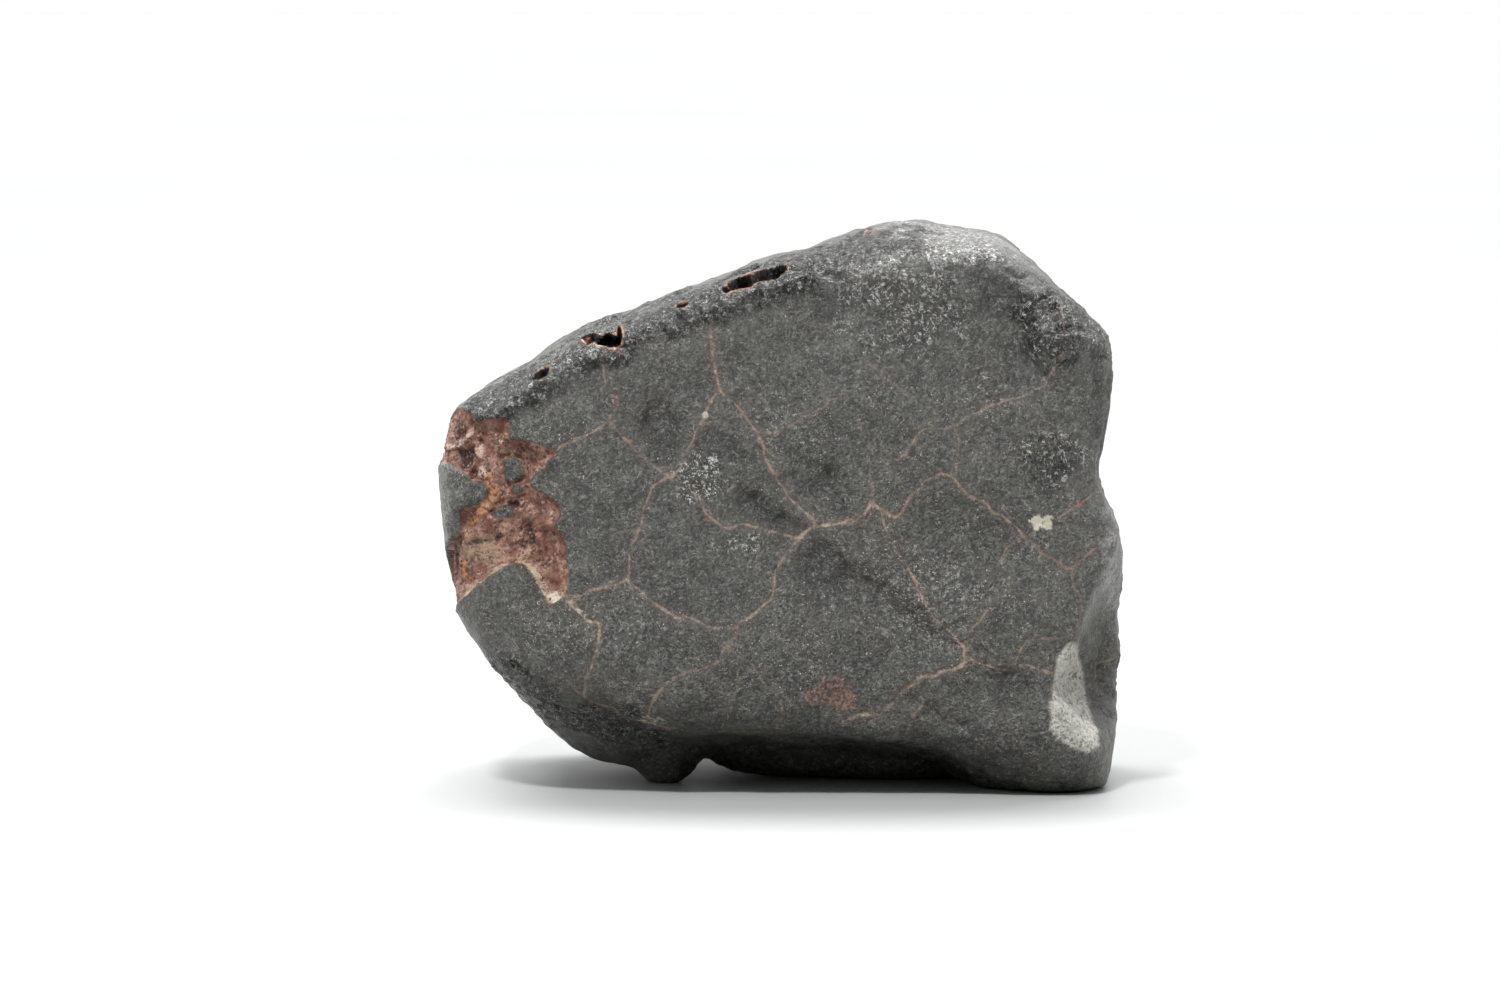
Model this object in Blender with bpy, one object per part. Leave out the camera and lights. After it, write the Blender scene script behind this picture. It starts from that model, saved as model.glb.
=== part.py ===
"""A fusion-crusted stony meteorite: one blocky stone that rests on three low feet.

The form is worked out in millimetres and turned into metres when the mesh is made.
+X runs to the right along the broad front face, the front face looks along -Y, and
+Z is up. The origin is the middle of the bounding box, on the ground.
"""

import math
from collections import namedtuple

import bmesh
import bpy
import numpy as np
from mathutils import Vector, noise

# Driving dimensions, in millimetres.
WIDTH = 45.0
HEIGHT = 36.4
DEPTH = 27.0
FOOT_CLEARANCE = 0.45
LEDGE_HEIGHT = 0.7
MM = 0.001

# The mesh: quads along each side of the first cube, and the triangles that are kept.
GRID = 120
TRIANGLES = 9500

# The middle that the surface is measured from, how tightly faces meet, how far the
# outline's corners are rounded, the thickness of rim that a scoop leaves whole, how near
# a scoop's middle, in its own radii, a line passes where it is cut in full, and how
# tightly two scoops meet.
MIDDLE = np.array((0.5, 0.0, HEIGHT / 2))
EDGE_SHARPNESS = 18.0
OUTLINE_SOFTNESS_DEG = 1.2
WHOLE_RIM = 5.0
FULL_SCOOP = 0.72
SCOOP_MEETING = 3.0

# The outline of the stone as its front face is looked at: x and z of its points.
OUTLINE = (
    (-21.0, 21.0),
    (-21.1, 19.0),
    (-20.9, 16.9),
    (-20.7, 14.6),
    (-20.2, 11.7),
    (-18.6, 8.8),
    (-16.4, 5.2),
    (-14.2, 2.9),
    (-11.6, 1.5),
    (-9.0, 0.4),
    (-6.0, -0.4),
    (4.0, -0.6),
    (12.0, -0.8),
    (18.4, -0.9),
    (21.5, -0.4),
    (22.3, 1.4),
    (22.4, 4.2),
    (22.3, 6.7),
    (22.8, 8.6),
    (22.6, 11.2),
    (23.2, 14.0),
    (22.9, 16.6),
    (21.3, 19.2),
    (20.8, 21.4),
    (21.4, 24.6),
    (22.0, 27.6),
    (21.6, 29.7),
    (19.4, 31.5),
    (16.9, 34.0),
    (14.7, 35.8),
    (12.0, 35.9),
    (9.6, 36.2),
    (7.2, 35.8),
    (4.6, 35.0),
    (2.9, 34.3),
    (0.7, 34.0),
    (-3.3, 32.5),
    (-8.7, 30.4),
    (-12.6, 28.9),
    (-15.6, 26.9),
    (-18.9, 25.4),
    (-20.6, 23.8),
)

# Broad faces that cut the outline off along Y and round its corners:
# a point that the face passes through, and the way it looks.
Face = namedtuple("Face", "at looks")
FACES = {
    "front": Face((0.0, -DEPTH / 2 - 0.4, 18.0), (0.03, -1.0, 0.06)),
    "front_left": Face((-19.6, -12.6, 18.0), (-0.42, -0.90, 0.0)),
    "front_low_left": Face((-13.2, -13.0, 5.4), (-0.40, -0.42, -0.82)),
    "front_low": Face((2.0, -13.2, 3.6), (-0.08, -0.38, -0.92)),
    "front_top": Face((9.0, -11.4, 35.0), (0.05, -0.62, 0.78)),
    "back_left": Face((-8.0, DEPTH / 2 - 2.8, 18.0), (-0.30, 0.95, 0.08)),
    "back_right": Face((10.0, DEPTH / 2 - 3.0, 18.0), (0.38, 0.92, -0.10)),
    "back_top": Face((2.0, 9.5, 34.0), (-0.10, 0.72, 0.69)),
    "back_top_right": Face((16.2, 6.5, 32.2), (0.55, 0.60, 0.58)),
    "back_low": Face((0.0, 10.5, 3.6), (0.05, 0.62, -0.78)),
    "back_low_left": Face((-15.5, 6.0, 4.6), (-0.50, 0.55, -0.67)),
    "left_back": Face((-20.6, 6.0, 19.0), (-0.85, 0.52, 0.0)),
    "right_back": Face((20.8, 7.0, 14.0), (0.84, 0.54, 0.05)),
    "underside": Face((0.0, 0.0, FOOT_CLEARANCE), (-0.03, -0.02, -1.0)),
}

# Each side: the way it looks, and its own across and up directions.
Side = namedtuple("Side", "looks across up")
SIDES = {
    "front": Side((0, -1, 0), (1, 0, 0), (0, 0, 1)),
    "back": Side((0, 1, 0), (1, 0, 0), (0, 0, 1)),
    "left": Side((-1, 0, 0), (0, 1, 0), (0, 0, 1)),
    "right": Side((1, 0, 0), (0, 1, 0), (0, 0, 1)),
    "top": Side((0, 0, 1), (1, 0, 0), (0, 1, 0)),
    "brow": Side((0, -0.5, 0.866), (1, 0, 0), (0, 0.866, 0.5)),
    "under": Side((0, 0, -1), (1, 0, 0), (0, 1, 0)),
}

# Hollows (depth above 0) and lumps (depth below 0): where the middle is on its side,
# half the width, half the height, the turn in degrees, the depth, and how pointed it is.
Spot = namedtuple("Spot", "side across up wide high turn depth point", defaults=(2.0,))
SPOTS = {
    "upper_thumbprint": Spot("front", 11.0, 29.2, 7.6, 6.2, -20, 1.30),
    "upper_thumbprint_floor": Spot("front", 14.8, 31.8, 3.6, 2.6, -35, 0.55),
    "upper_left_dimple": Spot("front", 3.2, 31.4, 2.8, 3.4, 0, 0.65),
    "middle_swell": Spot("front", 4.5, 25.5, 9.0, 4.6, 20, -0.45),
    "left_groove": Spot("front", -7.3, 23.4, 2.1, 4.0, -12, 0.65),
    "left_swell": Spot("front", -11.5, 23.5, 4.6, 5.6, 10, -0.40),
    "middle_groove": Spot("front", -3.0, 21.8, 1.5, 3.0, 55, 0.45),
    "slanting_groove": Spot("front", -0.8, 18.4, 2.0, 4.4, 50, 0.60),
    "steep_groove": Spot("front", 3.0, 20.2, 1.6, 3.4, 25, 0.55),
    "centre_groove": Spot("front", 3.0, 14.6, 2.1, 4.6, 32, 0.50),
    "low_crease": Spot("front", 7.4, 12.0, 1.5, 5.8, 52, 0.50),
    "low_swell": Spot("front", 0.0, 9.8, 6.6, 4.0, -10, -0.45),
    "right_hollow": Spot("front", 12.5, 16.2, 5.6, 4.6, 15, 0.65),
    "right_swell": Spot("front", 16.0, 12.2, 5.0, 3.8, 0, -0.50),
    "low_right_hollow": Spot("front", 14.2, 6.8, 3.8, 2.6, 0, 0.60),
    "low_left_swell": Spot("front", -13.0, 10.2, 5.6, 4.0, -25, -0.45),
    "low_middle_hollow": Spot("front", 6.4, 6.2, 4.4, 2.0, 0, 0.40),
    "right_shoulder_dip": Spot("front", 15.8, 28.4, 1.7, 4.6, 12, 0.90),
    "right_shoulder_knob": Spot("front", 18.7, 29.2, 2.8, 3.0, 0, -0.80),
    "right_edge_band": Spot("front", 20.4, 22.6, 1.8, 5.6, 0, 0.60),
    "brow_dip": Spot("brow", 4.4, 12.0, 3.0, 2.4, 0, 0.45),
    "brow_long_pit": Spot("brow", -1.8, 13.4, 2.3, 0.85, 8, 1.70, 1.0),
    "brow_short_pit": Spot("brow", -10.9, 10.4, 1.0, 0.9, 0, 1.20, 1.0),
    "brow_slit": Spot("brow", -12.4, 10.3, 0.8, 0.5, 0, 0.55, 1.0),
    "brow_rear_pit": Spot("brow", -14.3, 9.8, 0.6, 0.55, 0, 0.50, 1.0),
    "top_dip_left": Spot("top", -8.0, 5.0, 6.5, 4.5, 15, 0.50),
    "top_dip_right": Spot("top", 12.0, 4.0, 5.0, 4.5, 0, 0.70),
    "top_knob": Spot("top", 7.6, -4.0, 3.8, 3.2, 0, -0.40),
    "right_notch": Spot("right", 1.4, 6.9, 5.0, 1.3, 6, 1.30),
    "right_upper_hollow": Spot("right", 4.5, 22.5, 5.5, 6.0, 10, 1.10),
    "right_low_hollow": Spot("right", 7.5, 9.0, 4.5, 4.0, 0, 0.80),
    "left_upper_hollow": Spot("left", 2.5, 19.5, 5.5, 5.0, 0, 1.00),
    "left_low_hollow": Spot("left", 1.0, 10.5, 4.5, 3.6, 15, 0.70),
    "back_big_thumbprint": Spot("back", -7.5, 21.5, 9.0, 7.5, 15, 2.00),
    "back_right_thumbprint": Spot("back", 10.0, 14.0, 8.0, 6.6, -20, 1.90),
    "back_top_thumbprint": Spot("back", 5.0, 28.0, 6.0, 4.4, 10, 1.20),
    "back_low_thumbprint": Spot("back", -6.5, 8.5, 6.4, 4.4, 0, 1.30),
    "back_edge_thumbprint": Spot("back", 17.0, 24.5, 4.6, 5.4, 0, 1.00),
    "under_arch": Spot("under", 3.0, -9.6, 11.5, 3.6, -3, 0.80, 1.0),
    "under_passage": Spot("under", -4.9, 5.0, 1.8, 9.0, -3, 0.80, 1.2),
    "under_left_swell": Spot("under", -10.2, -5.4, 5.6, 6.4, 10, -1.55, 1.0),
    "under_rear": Spot("under", -9.0, 9.5, 9.0, 7.0, 0, 1.20),
    "foot_left": Spot("under", -6.7, -5.6, 2.1, 3.4, 20, -1.60, 1.2),
    "foot_right": Spot("under", 18.6, -9.0, 8.2, 6.0, -6, -2.30, 1.0),
    "foot_middle": Spot("under", 6.2, -2.8, 10.4, 4.4, 0, -1.30, 0.7),
    "foot_back": Spot("under", 3.0, 4.6, 7.0, 5.0, 4, -1.00, 1.2),
}

# Deep scoops with a clear rim: an egg-shaped space, its middle, half its sizes and how
# far its top leans towards +X, in degrees.
Scoop = namedtuple("Scoop", "middle reach lean")
SCOOPS = {
    "flank_upper": Scoop((25.6, -14.0, 10.7), (5.9, 10.0, 9.4), 22),
    "flank_lower": Scoop((27.0, -14.4, 6.9), (9.1, 11.0, 5.6), 4),
}

# Broken places, where a flake of crust and stone has come away: corners on the side.
Break = namedtuple("Break", "side corners depth roughness")
BREAKS = {
    "left_break": Break(
        "front",
        (
            (-23.5, 24.4),
            (-20.8, 25.1),
            (-19.1, 24.2),
            (-17.1, 24.2),
            (-16.9, 23.0),
            (-14.0, 22.2),
            (-14.9, 21.1),
            (-15.7, 20.1),
            (-14.2, 19.0),
            (-14.1, 17.4),
            (-13.4, 16.2),
            (-13.5, 13.3),
            (-14.4, 12.5),
            (-15.1, 13.2),
            (-16.3, 15.0),
            (-17.6, 15.0),
            (-19.2, 13.8),
            (-20.6, 12.6),
            (-23.5, 13.4),
            (-23.5, 16.4),
            (-21.0, 16.9),
            (-20.2, 18.3),
            (-19.1, 19.0),
            (-19.4, 20.2),
            (-21.0, 21.2),
            (-23.5, 21.5),
        ),
        LEDGE_HEIGHT,
        0.30,
    ),
    "back_break": Break(
        "back",
        (
            (12.5, 33.5),
            (14.0, 27.5),
            (16.8, 25.0),
            (19.5, 25.8),
            (23.0, 24.0),
            (23.0, 34.0),
        ),
        LEDGE_HEIGHT,
        0.30,
    ),
}


def grid_directions():
    """A cube cut into a fine grid, and its points as directions from the middle."""
    mesh = bmesh.new()
    bmesh.ops.create_cube(mesh, size=2.0)
    bmesh.ops.subdivide_edges(mesh, edges=mesh.edges, cuts=GRID - 1, use_grid_fill=True)
    points = np.array([vert.co for vert in mesh.verts])
    # Even angles along each cube face keep the grid even on the stone.
    points = np.tan(points * math.pi / 5) / math.tan(math.pi / 5)
    points *= np.array((WIDTH, DEPTH, HEIGHT)) / 2
    return mesh, points / np.linalg.norm(points, axis=1)[:, None]


def outline_radius(angle):
    """The distance from the middle to the outline at an angle about Y."""
    across = np.array([x for x, _ in OUTLINE]) - MIDDLE[0]
    up = np.array([z for _, z in OUTLINE]) - MIDDLE[2]
    steps = 720
    even = np.linspace(-math.pi, math.pi, steps, endpoint=False)
    # Points every tenth of each straight stretch keep its sides straight.
    part = np.linspace(0, 1, 10, endpoint=False)[:, None]
    dense_across = (across + part * (np.roll(across, -1) - across)).T.ravel()
    dense_up = (up + part * (np.roll(up, -1) - up)).T.ravel()
    angles = np.arctan2(dense_up, dense_across)
    order = np.argsort(angles)
    radii = np.hypot(dense_across, dense_up)[order]
    radii = np.interp(even, angles[order], radii, period=2 * math.pi)
    spread = OUTLINE_SOFTNESS_DEG / 360 * steps
    reach = np.arange(-int(4 * spread), int(4 * spread) + 1)
    weights = np.exp(-0.5 * (reach / spread) ** 2)
    weights /= weights.sum()
    soft = sum(w * np.roll(radii, k) for k, w in zip(reach, weights))
    return np.interp(angle, even, soft, period=2 * math.pi)


def block_form(directions):
    """Points of the plain block: the outline and every broad face, softly met."""
    flat = np.hypot(directions[:, 0], directions[:, 2])
    angle = np.arctan2(directions[:, 2], directions[:, 0])
    nearness = (flat / outline_radius(angle)) ** EDGE_SHARPNESS
    for face in FACES.values():
        looks = np.array(face.looks) / np.linalg.norm(face.looks)
        reach = looks @ (np.array(face.at) - MIDDLE)
        nearness += (np.maximum(directions @ looks, 0) / reach) ** EDGE_SHARPNESS
    distance = nearness ** (-1 / EDGE_SHARPNESS)
    return MIDDLE + directions * distance[:, None]


def cut_scoops(directions, points):
    """Draws the points back to where a line from the middle enters each scoop."""
    distance = np.linalg.norm(points - MIDDLE, axis=1)
    depths = np.zeros(len(points))
    for scoop in SCOOPS.values():
        reach = np.array(scoop.reach)
        lean = math.radians(scoop.lean)
        # The scoop's own axes, as the columns that turn a way into them.
        axes = np.array(
            ((math.cos(lean), 0, math.sin(lean)), (0, 1, 0), (-math.sin(lean), 0, math.cos(lean)))
        )
        start = (MIDDLE - np.array(scoop.middle)) @ axes / reach
        slope = directions @ axes / reach
        a = (slope**2).sum(axis=1)
        b = slope @ start
        root = b**2 - a * (start @ start - 1)
        hit = (root > 0) & (b < 0)
        spread = np.sqrt(np.maximum(root, 0))
        depth = np.where(hit, np.maximum(distance - (-b - spread) / a, 0), 0)
        # A thin rim beyond the scoop is taken off too, and a thick one stays.
        rim = distance - (-b + spread) / a
        # A line that only grazes the scoop is drawn back by a part, which rounds its ends.
        passing = np.sqrt(np.maximum(start @ start - b**2 / a, 0))
        depth *= smooth_step(1.0, FULL_SCOOP, passing) * smooth_step(WHOLE_RIM, 0.0, rim)
        depths += depth**SCOOP_MEETING
    return points - directions * (depths ** (1 / SCOOP_MEETING))[:, None]


def vertex_normals(mesh, points):
    for vert, point in zip(mesh.verts, points):
        vert.co = point
    mesh.normal_update()
    return np.array([vert.normal for vert in mesh.verts])


def smooth_step(low, high, value):
    part = np.clip((value - low) / (high - low), 0, 1)
    return part * part * (3 - 2 * part)


def on_side(side, points):
    """Across and up coordinates of the points on a side."""
    return points @ np.array(side.across, float), points @ np.array(side.up, float)


def press_spots(points, normals):
    """Moves the points by every hollow and lump."""
    moved = points.copy()
    for spot in SPOTS.values():
        side = SIDES[spot.side]
        across, up = on_side(side, points)
        turn = math.radians(spot.turn)
        across = across - spot.across
        up = up - spot.up
        along = across * math.cos(turn) + up * math.sin(turn)
        over = up * math.cos(turn) - across * math.sin(turn)
        inside = np.maximum(1 - (along / spot.wide) ** 2 - (over / spot.high) ** 2, 0)
        looks = np.array(side.looks, float)
        facing = smooth_step(0.0, 0.45, normals @ looks)
        moved -= np.outer(spot.depth * inside**spot.point * facing, looks)
    return moved


def distance_inside(corners, across, up):
    """The distance of each point to a polygon's edge, positive inside it."""
    nearest = np.full(len(across), np.inf)
    inside = np.zeros(len(across), bool)
    for (ax, az), (bx, bz) in zip(corners, corners[1:] + corners[:1]):
        run_x, run_z = bx - ax, bz - az
        part = ((across - ax) * run_x + (up - az) * run_z) / (run_x**2 + run_z**2)
        part = np.clip(part, 0, 1)
        gap = np.hypot(across - ax - part * run_x, up - az - part * run_z)
        nearest = np.minimum(nearest, gap)
        if az != bz:
            crosses = (az > up) != (bz > up)
            inside ^= crosses & (across < ax + (up - az) / run_z * run_x)
    return np.where(inside, nearest, -nearest)


def field(points, size, seed):
    """Smooth noise between about -1 and 1, with lumps of the given size."""
    shift = Vector((seed * 17.3, seed * 5.1, seed * 9.7))
    return np.array([noise.noise(Vector(point) / size + shift) for point in points])


def lower_breaks(points, normals):
    """Sinks the broken places below the crust, with a ledge round them."""
    moved = points.copy()
    rough = field(points, 1.3, 4) + 0.5 * field(points, 0.6, 5)
    for place in BREAKS.values():
        side = SIDES[place.side]
        inside = distance_inside(place.corners, *on_side(side, points))
        facing = smooth_step(0.10, 0.45, normals @ np.array(side.looks, float))
        sunk = smooth_step(-0.10, 0.35, inside) * facing
        depth = sunk * (place.depth + place.roughness * rough)
        moved -= normals * depth[:, None]
    return moved


def softened(mesh, points, times=5):
    """The points after smoothing, which rounds the rims of spots and scoops."""
    for vert, point in zip(mesh.verts, points):
        vert.co = point
    for _ in range(times):
        bmesh.ops.smooth_vert(
            mesh, verts=mesh.verts, factor=0.5, use_axis_x=True, use_axis_y=True, use_axis_z=True
        )
    return np.array([vert.co for vert in mesh.verts])


def weather(points, normals):
    """The stone's uneven surface: broad waves, lumps and a fine unevenness."""
    waves = 0.40 * field(points, 8.0, 1)
    waves += 0.20 * field(points, 3.4, 2)
    waves += 0.07 * field(points, 1.5, 3)
    return points + normals * waves[:, None]


def settle(points):
    """Cuts the feet off flat at the ground and centres the stone over the origin."""
    points = points.copy()
    points[:, 2] = np.maximum(points[:, 2], 0.0)
    middle = (points.min(axis=0) + points.max(axis=0)) / 2
    points[:, :2] -= middle[:2]
    return points


def crust_material():
    material = bpy.data.materials.new("fusion_crust")
    material.use_nodes = True
    shader = material.node_tree.nodes["Principled BSDF"]
    shader.inputs["Base Color"].default_value = (0.062, 0.063, 0.057, 1.0)
    shader.inputs["Roughness"].default_value = 0.48
    shader.inputs["Metallic"].default_value = 0.0
    material.diffuse_color = (0.062, 0.063, 0.057, 1.0)
    return material


def thinned(mesh):
    """The mesh with fewer triangles: large on flat places, small on sharp ones."""
    draft = bpy.data.objects.new("draft", mesh)
    bpy.context.scene.collection.objects.link(draft)
    decimate = draft.modifiers.new("Thin", "DECIMATE")
    decimate.ratio = TRIANGLES / (2 * len(mesh.polygons))
    decimate.use_collapse_triangulate = True
    graph = bpy.context.evaluated_depsgraph_get()
    thin = bpy.data.meshes.new_from_object(draft.evaluated_get(graph))
    bpy.data.objects.remove(draft)
    bpy.data.meshes.remove(mesh)
    return thin


def flatten_feet(mesh):
    """Puts every corner of the foot flats exactly on the ground."""
    for vert in mesh.vertices:
        if vert.co.z < 0.02 * MM:
            vert.co.z = 0.0


def make_meteorite():
    grid, directions = grid_directions()
    points = cut_scoops(directions, block_form(directions))
    normals = vertex_normals(grid, points)
    points = softened(grid, press_spots(points, normals))
    points = weather(points, vertex_normals(grid, points))
    points = lower_breaks(points, vertex_normals(grid, points))
    points = settle(points) * MM
    for vert, point in zip(grid.verts, points):
        vert.co = point
    mesh = bpy.data.meshes.new("meteorite")
    grid.to_mesh(mesh)
    grid.free()
    mesh = thinned(mesh)
    mesh.name = "meteorite"
    flatten_feet(mesh)
    mesh.shade_smooth()
    mesh.materials.clear()
    mesh.materials.append(crust_material())
    stone = bpy.data.objects.new("meteorite", mesh)
    bpy.context.scene.collection.objects.link(stone)
    return stone


def main():
    for obj in list(bpy.data.objects):
        bpy.data.objects.remove(obj)
    make_meteorite()


main()
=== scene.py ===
"""A fusion-crusted stony meteorite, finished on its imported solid.

The stone is one mesh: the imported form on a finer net, with the relief of the crust,
its shrinkage cracks, pits and broken places worked into it. Mineral grains stand out
of the broken stone. Places that were read off the photograph are pixels of its
1500 x 1000 frame, and a ray from the camera carries each one to the stone.
Lengths are worked out in millimetres and turned into metres when a mesh is made.
"""

import math
from collections import namedtuple

import bmesh
import bpy
import numpy as np
from bpy.props import FloatProperty, FloatVectorProperty, IntProperty, PointerProperty
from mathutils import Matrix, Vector, noise
from mathutils.bvhtree import BVHTree


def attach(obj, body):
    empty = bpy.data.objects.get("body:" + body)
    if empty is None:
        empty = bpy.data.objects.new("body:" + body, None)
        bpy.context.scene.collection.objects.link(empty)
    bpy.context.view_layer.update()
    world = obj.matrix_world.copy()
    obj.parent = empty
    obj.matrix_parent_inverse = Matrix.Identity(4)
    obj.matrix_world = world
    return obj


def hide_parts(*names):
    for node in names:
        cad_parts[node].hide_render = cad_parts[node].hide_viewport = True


bl_info = {
    "name": "Crusted Meteorite",
    "version": (1, 0, 0),
    "blender": (4, 5, 0),
    "location": "3D View > Sidebar > Meteorite",
    "description": "Finishes the packed meteorite: relief, cracks, broken stone and grains",
    "category": "Object",
}

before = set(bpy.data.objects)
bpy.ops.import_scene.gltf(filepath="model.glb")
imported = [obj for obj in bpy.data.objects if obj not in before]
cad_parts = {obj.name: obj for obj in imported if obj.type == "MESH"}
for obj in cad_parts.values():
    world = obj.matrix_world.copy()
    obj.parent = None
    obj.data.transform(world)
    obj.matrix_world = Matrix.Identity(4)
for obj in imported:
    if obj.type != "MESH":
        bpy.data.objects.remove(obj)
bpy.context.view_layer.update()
MM = 0.001

# Where the lamps are and what they look at, in metres.
OVERHEAD_LIGHTS = {
    "overhead_left": (-0.34, 0.35, 0.90),
    "overhead_middle": (-0.08, 0.35, 0.90),
    "overhead_right": (0.20, 0.35, 0.90),
}
SOFTBOX_PLACE = (-0.09, -0.235, 0.39)
LAMP_TARGET = (0.0, 0.0, 0.018)

# The photograph, in pixels, and the width of the camera's sensor in mm.
PHOTO_WIDE = 1500
PHOTO_HIGH = 1000
SENSOR_WIDE = 36.0

# The net of the stone, in millimetres: everywhere, where the photograph looks, and
# beside cracks and broken edges.
NET_COARSE = 0.50
NET_FRONT = 0.315
NET_FINE = 0.165
FINE_REACH = 0.42

FAR = 50.0
# The gap to a crack, in half widths, from which there is none.
NO_CRACK = 14.0
# On the hidden sides: half the width of a crack, and about half the stone's sides, in mm.
HIDDEN_HALF = 0.10
STONE_HALF = (22, 14, 18)
STONE_SEED = 11
# The share of a grain that is sunk in the stone, and how uneven it is in mm.
GRAIN_SUNK = 0.55
GRAIN_UNEVEN = 0.05

# Shrinkage cracks. half: half the width in mm; tone: 0 is rust, 1 is cream;
# force: how plain it is to see; path: its points in the photograph.
Crack = namedtuple("Crack", "half tone force path")
CRACKS = {
    "upper_left_arm": Crack(0.10, 0.35, 0.85, (
        (558, 450), (566, 443), (590, 433), (607, 422), (615, 428), (632, 447), (670, 478))),
    "pit_to_arm": Crack(0.09, 0.25, 0.50, (
        (607, 422), (617, 400), (608, 390), (604, 370), (603, 350), (605, 342))),
    "top_stem": Crack(0.11, 0.45, 0.85, ((710, 325), (714, 370), (720, 388))),
    "stem_left_leg": Crack(0.10, 0.45, 0.85, ((720, 388), (703, 415), (680, 465), (670, 478))),
    "stem_right_leg": Crack(0.09, 0.35, 0.80, (
        (720, 388), (748, 418), (762, 443), (766, 458), (788, 495), (795, 503))),
    "stem_right_foot": Crack(0.13, 0.75, 0.80, ((795, 503), (813, 520), (815, 527))),
    "left_long_drop": Crack(0.09, 0.35, 0.70, (
        (670, 478), (657, 483), (650, 490), (637, 535), (630, 545), (628, 560), (629, 580))),
    "middle_arm": Crack(0.09, 0.35, 0.80, (
        (680, 480), (700, 500), (708, 515), (718, 523), (730, 528), (740, 525), (755, 527), (780, 533),
        (799, 540))),
    "middle_bright_arm": Crack(0.12, 0.80, 1.00, (
        (799, 540), (805, 532), (815, 527), (857, 519), (870, 501))),
    "lower_middle_arc": Crack(0.10, 0.55, 0.75, (
        (799, 540), (790, 548), (777, 570), (772, 594), (763, 605), (754, 614), (738, 624), (727, 627),
        (709, 626), (688, 617), (674, 617), (638, 590), (629, 580))),
    "break_to_drop": Crack(0.10, 0.45, 0.75, (
        (566, 596), (581, 595), (593, 589), (609, 587), (627, 580))),
    "break_foot": Crack(0.15, 1.00, 1.00, ((562, 597), (568, 599), (584, 617), (592, 621))),
    "break_foot_tail": Crack(0.10, 0.60, 0.85, ((592, 621), (600, 628), (584, 690), (586, 699))),
    "low_left_rim": Crack(0.13, 0.45, 0.70, (
        (568, 681), (575, 690), (584, 697), (599, 705), (613, 708), (625, 717), (670, 728))),
    "low_loop": Crack(0.14, 0.55, 0.50, (
        (738, 624), (734, 635), (716, 662), (704, 669), (688, 671), (668, 683), (652, 703), (650, 717),
        (656, 724), (670, 728))),
    "low_right_of_loop": Crack(0.09, 0.35, 0.60, (
        (731, 649), (757, 671), (763, 681), (781, 701), (781, 714), (786, 724))),
    "green_thread": Crack(0.09, 0.90, 0.28, ((703, 424), (740, 416))),
    "upper_middle_thread": Crack(0.09, 0.45, 0.50, (
        (765, 433), (780, 430), (822, 408), (828, 400), (838, 398))),
    "centre_faint_drop": Crack(0.10, 0.50, 0.35, (
        (858, 420), (862, 432), (870, 443), (872, 460), (870, 475), (875, 490), (870, 501))),
    "left_pink_thread": Crack(0.09, 0.30, 0.30, ((602, 532), (618, 533), (635, 530))),
    "centre_right_arm": Crack(0.10, 0.45, 0.85, (
        (870, 501), (887, 514), (898, 516), (912, 494), (919, 487), (931, 478), (942, 474), (953, 478),
        (962, 489), (971, 496), (985, 503), (994, 512), (1006, 517), (1024, 537))),
    "right_garland": Crack(0.09, 0.25, 0.70, (
        (1024, 537), (1060, 564), (1071, 567), (1094, 550), (1106, 534))),
    "right_hook": Crack(0.08, 0.30, 0.60, ((1024, 537), (1014, 542), (1005, 551), (999, 562))),
    "to_cream_spot": Crack(0.09, 0.60, 0.60, ((1024, 537), (1029, 536), (1033, 531))),
    "centre_long_fall": Crack(0.09, 0.55, 0.95, (
        (873, 503), (881, 512), (885, 526), (898, 553), (912, 574), (928, 608), (937, 621), (962, 644),
        (964, 656))),
    "knot_up": Crack(0.08, 0.40, 0.75, ((964, 656), (974, 635), (974, 626), (987, 610))),
    "knot_down_left": Crack(0.12, 0.85, 1.00, (
        (966, 657), (962, 664), (937, 674), (919, 678), (887, 708), (878, 714), (860, 715), (843, 721))),
    "knot_right": Crack(0.09, 0.50, 0.85, ((964, 656), (1001, 669), (1012, 664), (1053, 672))),
    "knot_right_branch": Crack(0.09, 0.35, 0.60, (
        (1012, 664), (1028, 642), (1047, 637), (1065, 637), (1080, 628))),
    "right_edge_drop": Crack(0.10, 0.15, 0.45, ((1071, 567), (1075, 585), (1082, 600), (1080, 625))),
    "upper_right_net": Crack(0.09, 0.40, 0.60, (
        (1060, 300), (1065, 335), (1062, 358), (1050, 375), (1035, 390), (985, 408), (956, 425),
        (946, 428), (931, 428), (917, 435), (899, 459), (871, 457))),
    "upper_right_branch": Crack(0.09, 0.35, 0.50, ((956, 428), (958, 442), (956, 467), (951, 473))),
    "right_short_thread": Crack(0.09, 0.20, 0.60, ((1035, 410), (1044, 419), (1049, 432))),
    "right_edge_thread": Crack(0.09, 0.15, 0.75, ((1060, 517), (1078, 503), (1103, 489))),
    "thumbprint_thread": Crack(0.09, 0.30, 0.55, ((870, 365), (903, 390))),
    "low_short_thread": Crack(0.08, 0.45, 0.60, ((921, 696), (922, 706), (908, 721))),
    "lobe_thread": Crack(0.10, 0.45, 0.85, ((1087, 687), (1096, 678), (1099, 664), (1117, 658))),
    # The lower rim of the broken place, where its ledge faces up: a pale broken edge and a painted highlight
    # on it.
    "break_rim": Crack(0.13, 0.90, 0.90, (
        (458, 600), (500, 567), (518, 562), (526, 565), (532, 572), (543, 592), (550, 599))),
    "black_thread": Crack(0.07, -1.00, 0.90, ((937, 706), (946, 715), (960, 724))),
    # Painted shade: the fold of the diagonal hollow, drawn as a black line.
    "black_crease": Crack(0.08, -1.00, 0.60, ((838, 553), (880, 590), (960, 640))),
}

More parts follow.
